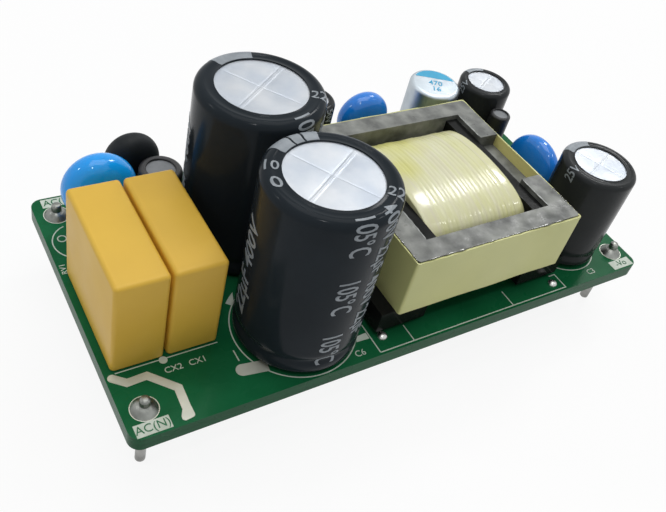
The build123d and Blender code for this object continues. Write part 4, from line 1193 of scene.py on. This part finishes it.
# legend underneath: part numbers beside the packages and chips, and lines along two sides of some packages
marks = [("BD1", (9.9, 14.0), 90), ("U1", (29.6, 5.6), 0), ("D1", (46.2, 7.0), 0), ("U2", (36.4, 21.5), 90),
         ("U3", (47.6, 20.9), 0), ("Q1", (33.0, 19.0), 0), ("D2", (43.4, 19.0), 0), ("R1", (3.5, 11.6), 0),
         ("R2", (3.5, 13.9), 0), ("R3", (3.5, 16.2), 0), ("R4", (40.2, 7.8), 90), ("R5", (37.0, 19.4), 0),
         ("C8", (56.4, 18.4), 0), ("C9", (58.7, 18.4), 0), ("C10", (61.0, 18.4), 0)]
noteKit = {"tall": 0.8, "beside": 0.35, "short": 0.2, "width": 0.13}
notes = [boardLetters(words, noteKit["tall"], place, angle, below=True, lift=film)
         for words, place, angle in marks]
for name in ("bridge_rectifier", "control_circuit", "optocoupler", "clamp_diode"):
    low, high = nodeBox(name)
    front, back = low[1] + noteKit["short"], high[1] - noteKit["short"]
    for side in (low[0] - noteKit["beside"], high[0] + noteKit["beside"]):
        ends = [(side, front), (side, back)]
        notes.append(stripShape(ends, noteKit["width"], boardUnder - film - ink, ink))
addPiece("underside_legend", together(notes), "legend_ink")
print("underside made,", len(feet), "feet")

# floor, world and lamps
floorKit = {"size": 1.6, "bright": 0.9, "paper": (0.9, 0.9, 0.9)}
mesh = bpy.data.meshes.new("floor")
reach = floorKit["size"]
corners = [(-reach, -reach, 0), (reach, -reach, 0), (reach, reach, 0), (-reach, reach, 0)]
mesh.from_pydata(corners, [], [(0, 1, 2, 3)])
floor = placed("floor", mesh)


def seenDirectly(tree):  # 1 for rays from the camera, a mirror or glass
    path = tree.nodes.new("ShaderNodeLightPath").outputs
    total = path["Is Camera Ray"]
    for label in ("Is Glossy Ray", "Is Transmission Ray"):
        total = worked(tree, "ShaderNodeMath", "MAXIMUM", total, path[label])[0]
    return total


def mixShaders(tree, factor, first, second):  # first where the factor is 0
    mix = tree.nodes.new("ShaderNodeMixShader")
    for value, socket in zip((factor, first, second), mix.inputs):
        tree.links.new(value, socket)
    return mix.outputs[0]


floorPaper = bpy.data.materials.new("floor_paper")
floorPaper.use_nodes = True
tree = floorPaper.node_tree
tree.nodes.remove(tree.nodes["Principled BSDF"])
paper = tree.nodes.new("ShaderNodeBsdfDiffuse")
paper.inputs["Color"].default_value = rgba(floorKit["paper"])
glow = tree.nodes.new("ShaderNodeEmission")
glow.inputs["Strength"].default_value = 1.0
share = worked(tree, "ShaderNodeMath", "MULTIPLY", seenDirectly(tree), floorKit["bright"])[0]
lit = mixShaders(tree, share, paper.outputs[0], glow.outputs[0])
clear = tree.nodes.new("ShaderNodeBsdfTransparent")  # the paper doesn't hide the underside from below
side = tree.nodes.new("ShaderNodeNewGeometry")
turned = mixShaders(tree, side.outputs["Backfacing"], lit, clear.outputs[0])
tree.links.new(turned, tree.nodes["Material Output"].inputs["Surface"])
mesh.materials.append(floorPaper)

worldKit = {"light": 0.29, "seen": 1.0}
world = bpy.data.worlds.new("studio")
scene.world = world
world.use_nodes = True
tree = world.node_tree
background = tree.nodes["Background"]
background.inputs["Color"].default_value = (0.97, 0.99, 1.0, 1)
tree.links.new(stretched(tree, seenDirectly(tree), 0, 1, worldKit["light"], worldKit["seen"]),
               background.inputs["Strength"])

lampAim = (0, 0, 0.012)  # the point that every lamp faces, in metres
lampKit = [  # name, place in metres, size, power in watts
    ("top_lamp", (0.05, 0.10, 0.58), (0.50, 0.40), 1.55),
    ("window_lamp", (0.40, 0.21, 0.46), (0.10, 0.13), 0.75),
    ("right_lamp", (0.40, -0.15, 0.45), (0.04, 0.05), 0.15),
    ("left_lamp", (-0.15, -0.19, 0.56), (0.035, 0.035), 0.35),
    ("corner_lamp", (-0.43, 0.26, 0.38), (0.035, 0.035), 0.22),
    ("back_lamp", (0.20, 0.30, 0.52), (0.012, 0.06), 0.06)]
for name, place, size, power in lampKit:
    lamp = bpy.data.lights.new(name, "AREA")
    lamp.shape = "RECTANGLE"
    lamp.size, lamp.size_y = size
    lamp.energy = power
    back = np.array(place) - lampAim
    back /= np.linalg.norm(back)
    side = np.cross((0, 0, 1), back)
    side /= np.linalg.norm(side)
    aimed(placed(name, lamp), side, np.cross(back, side), back, place)
print("stage lit")
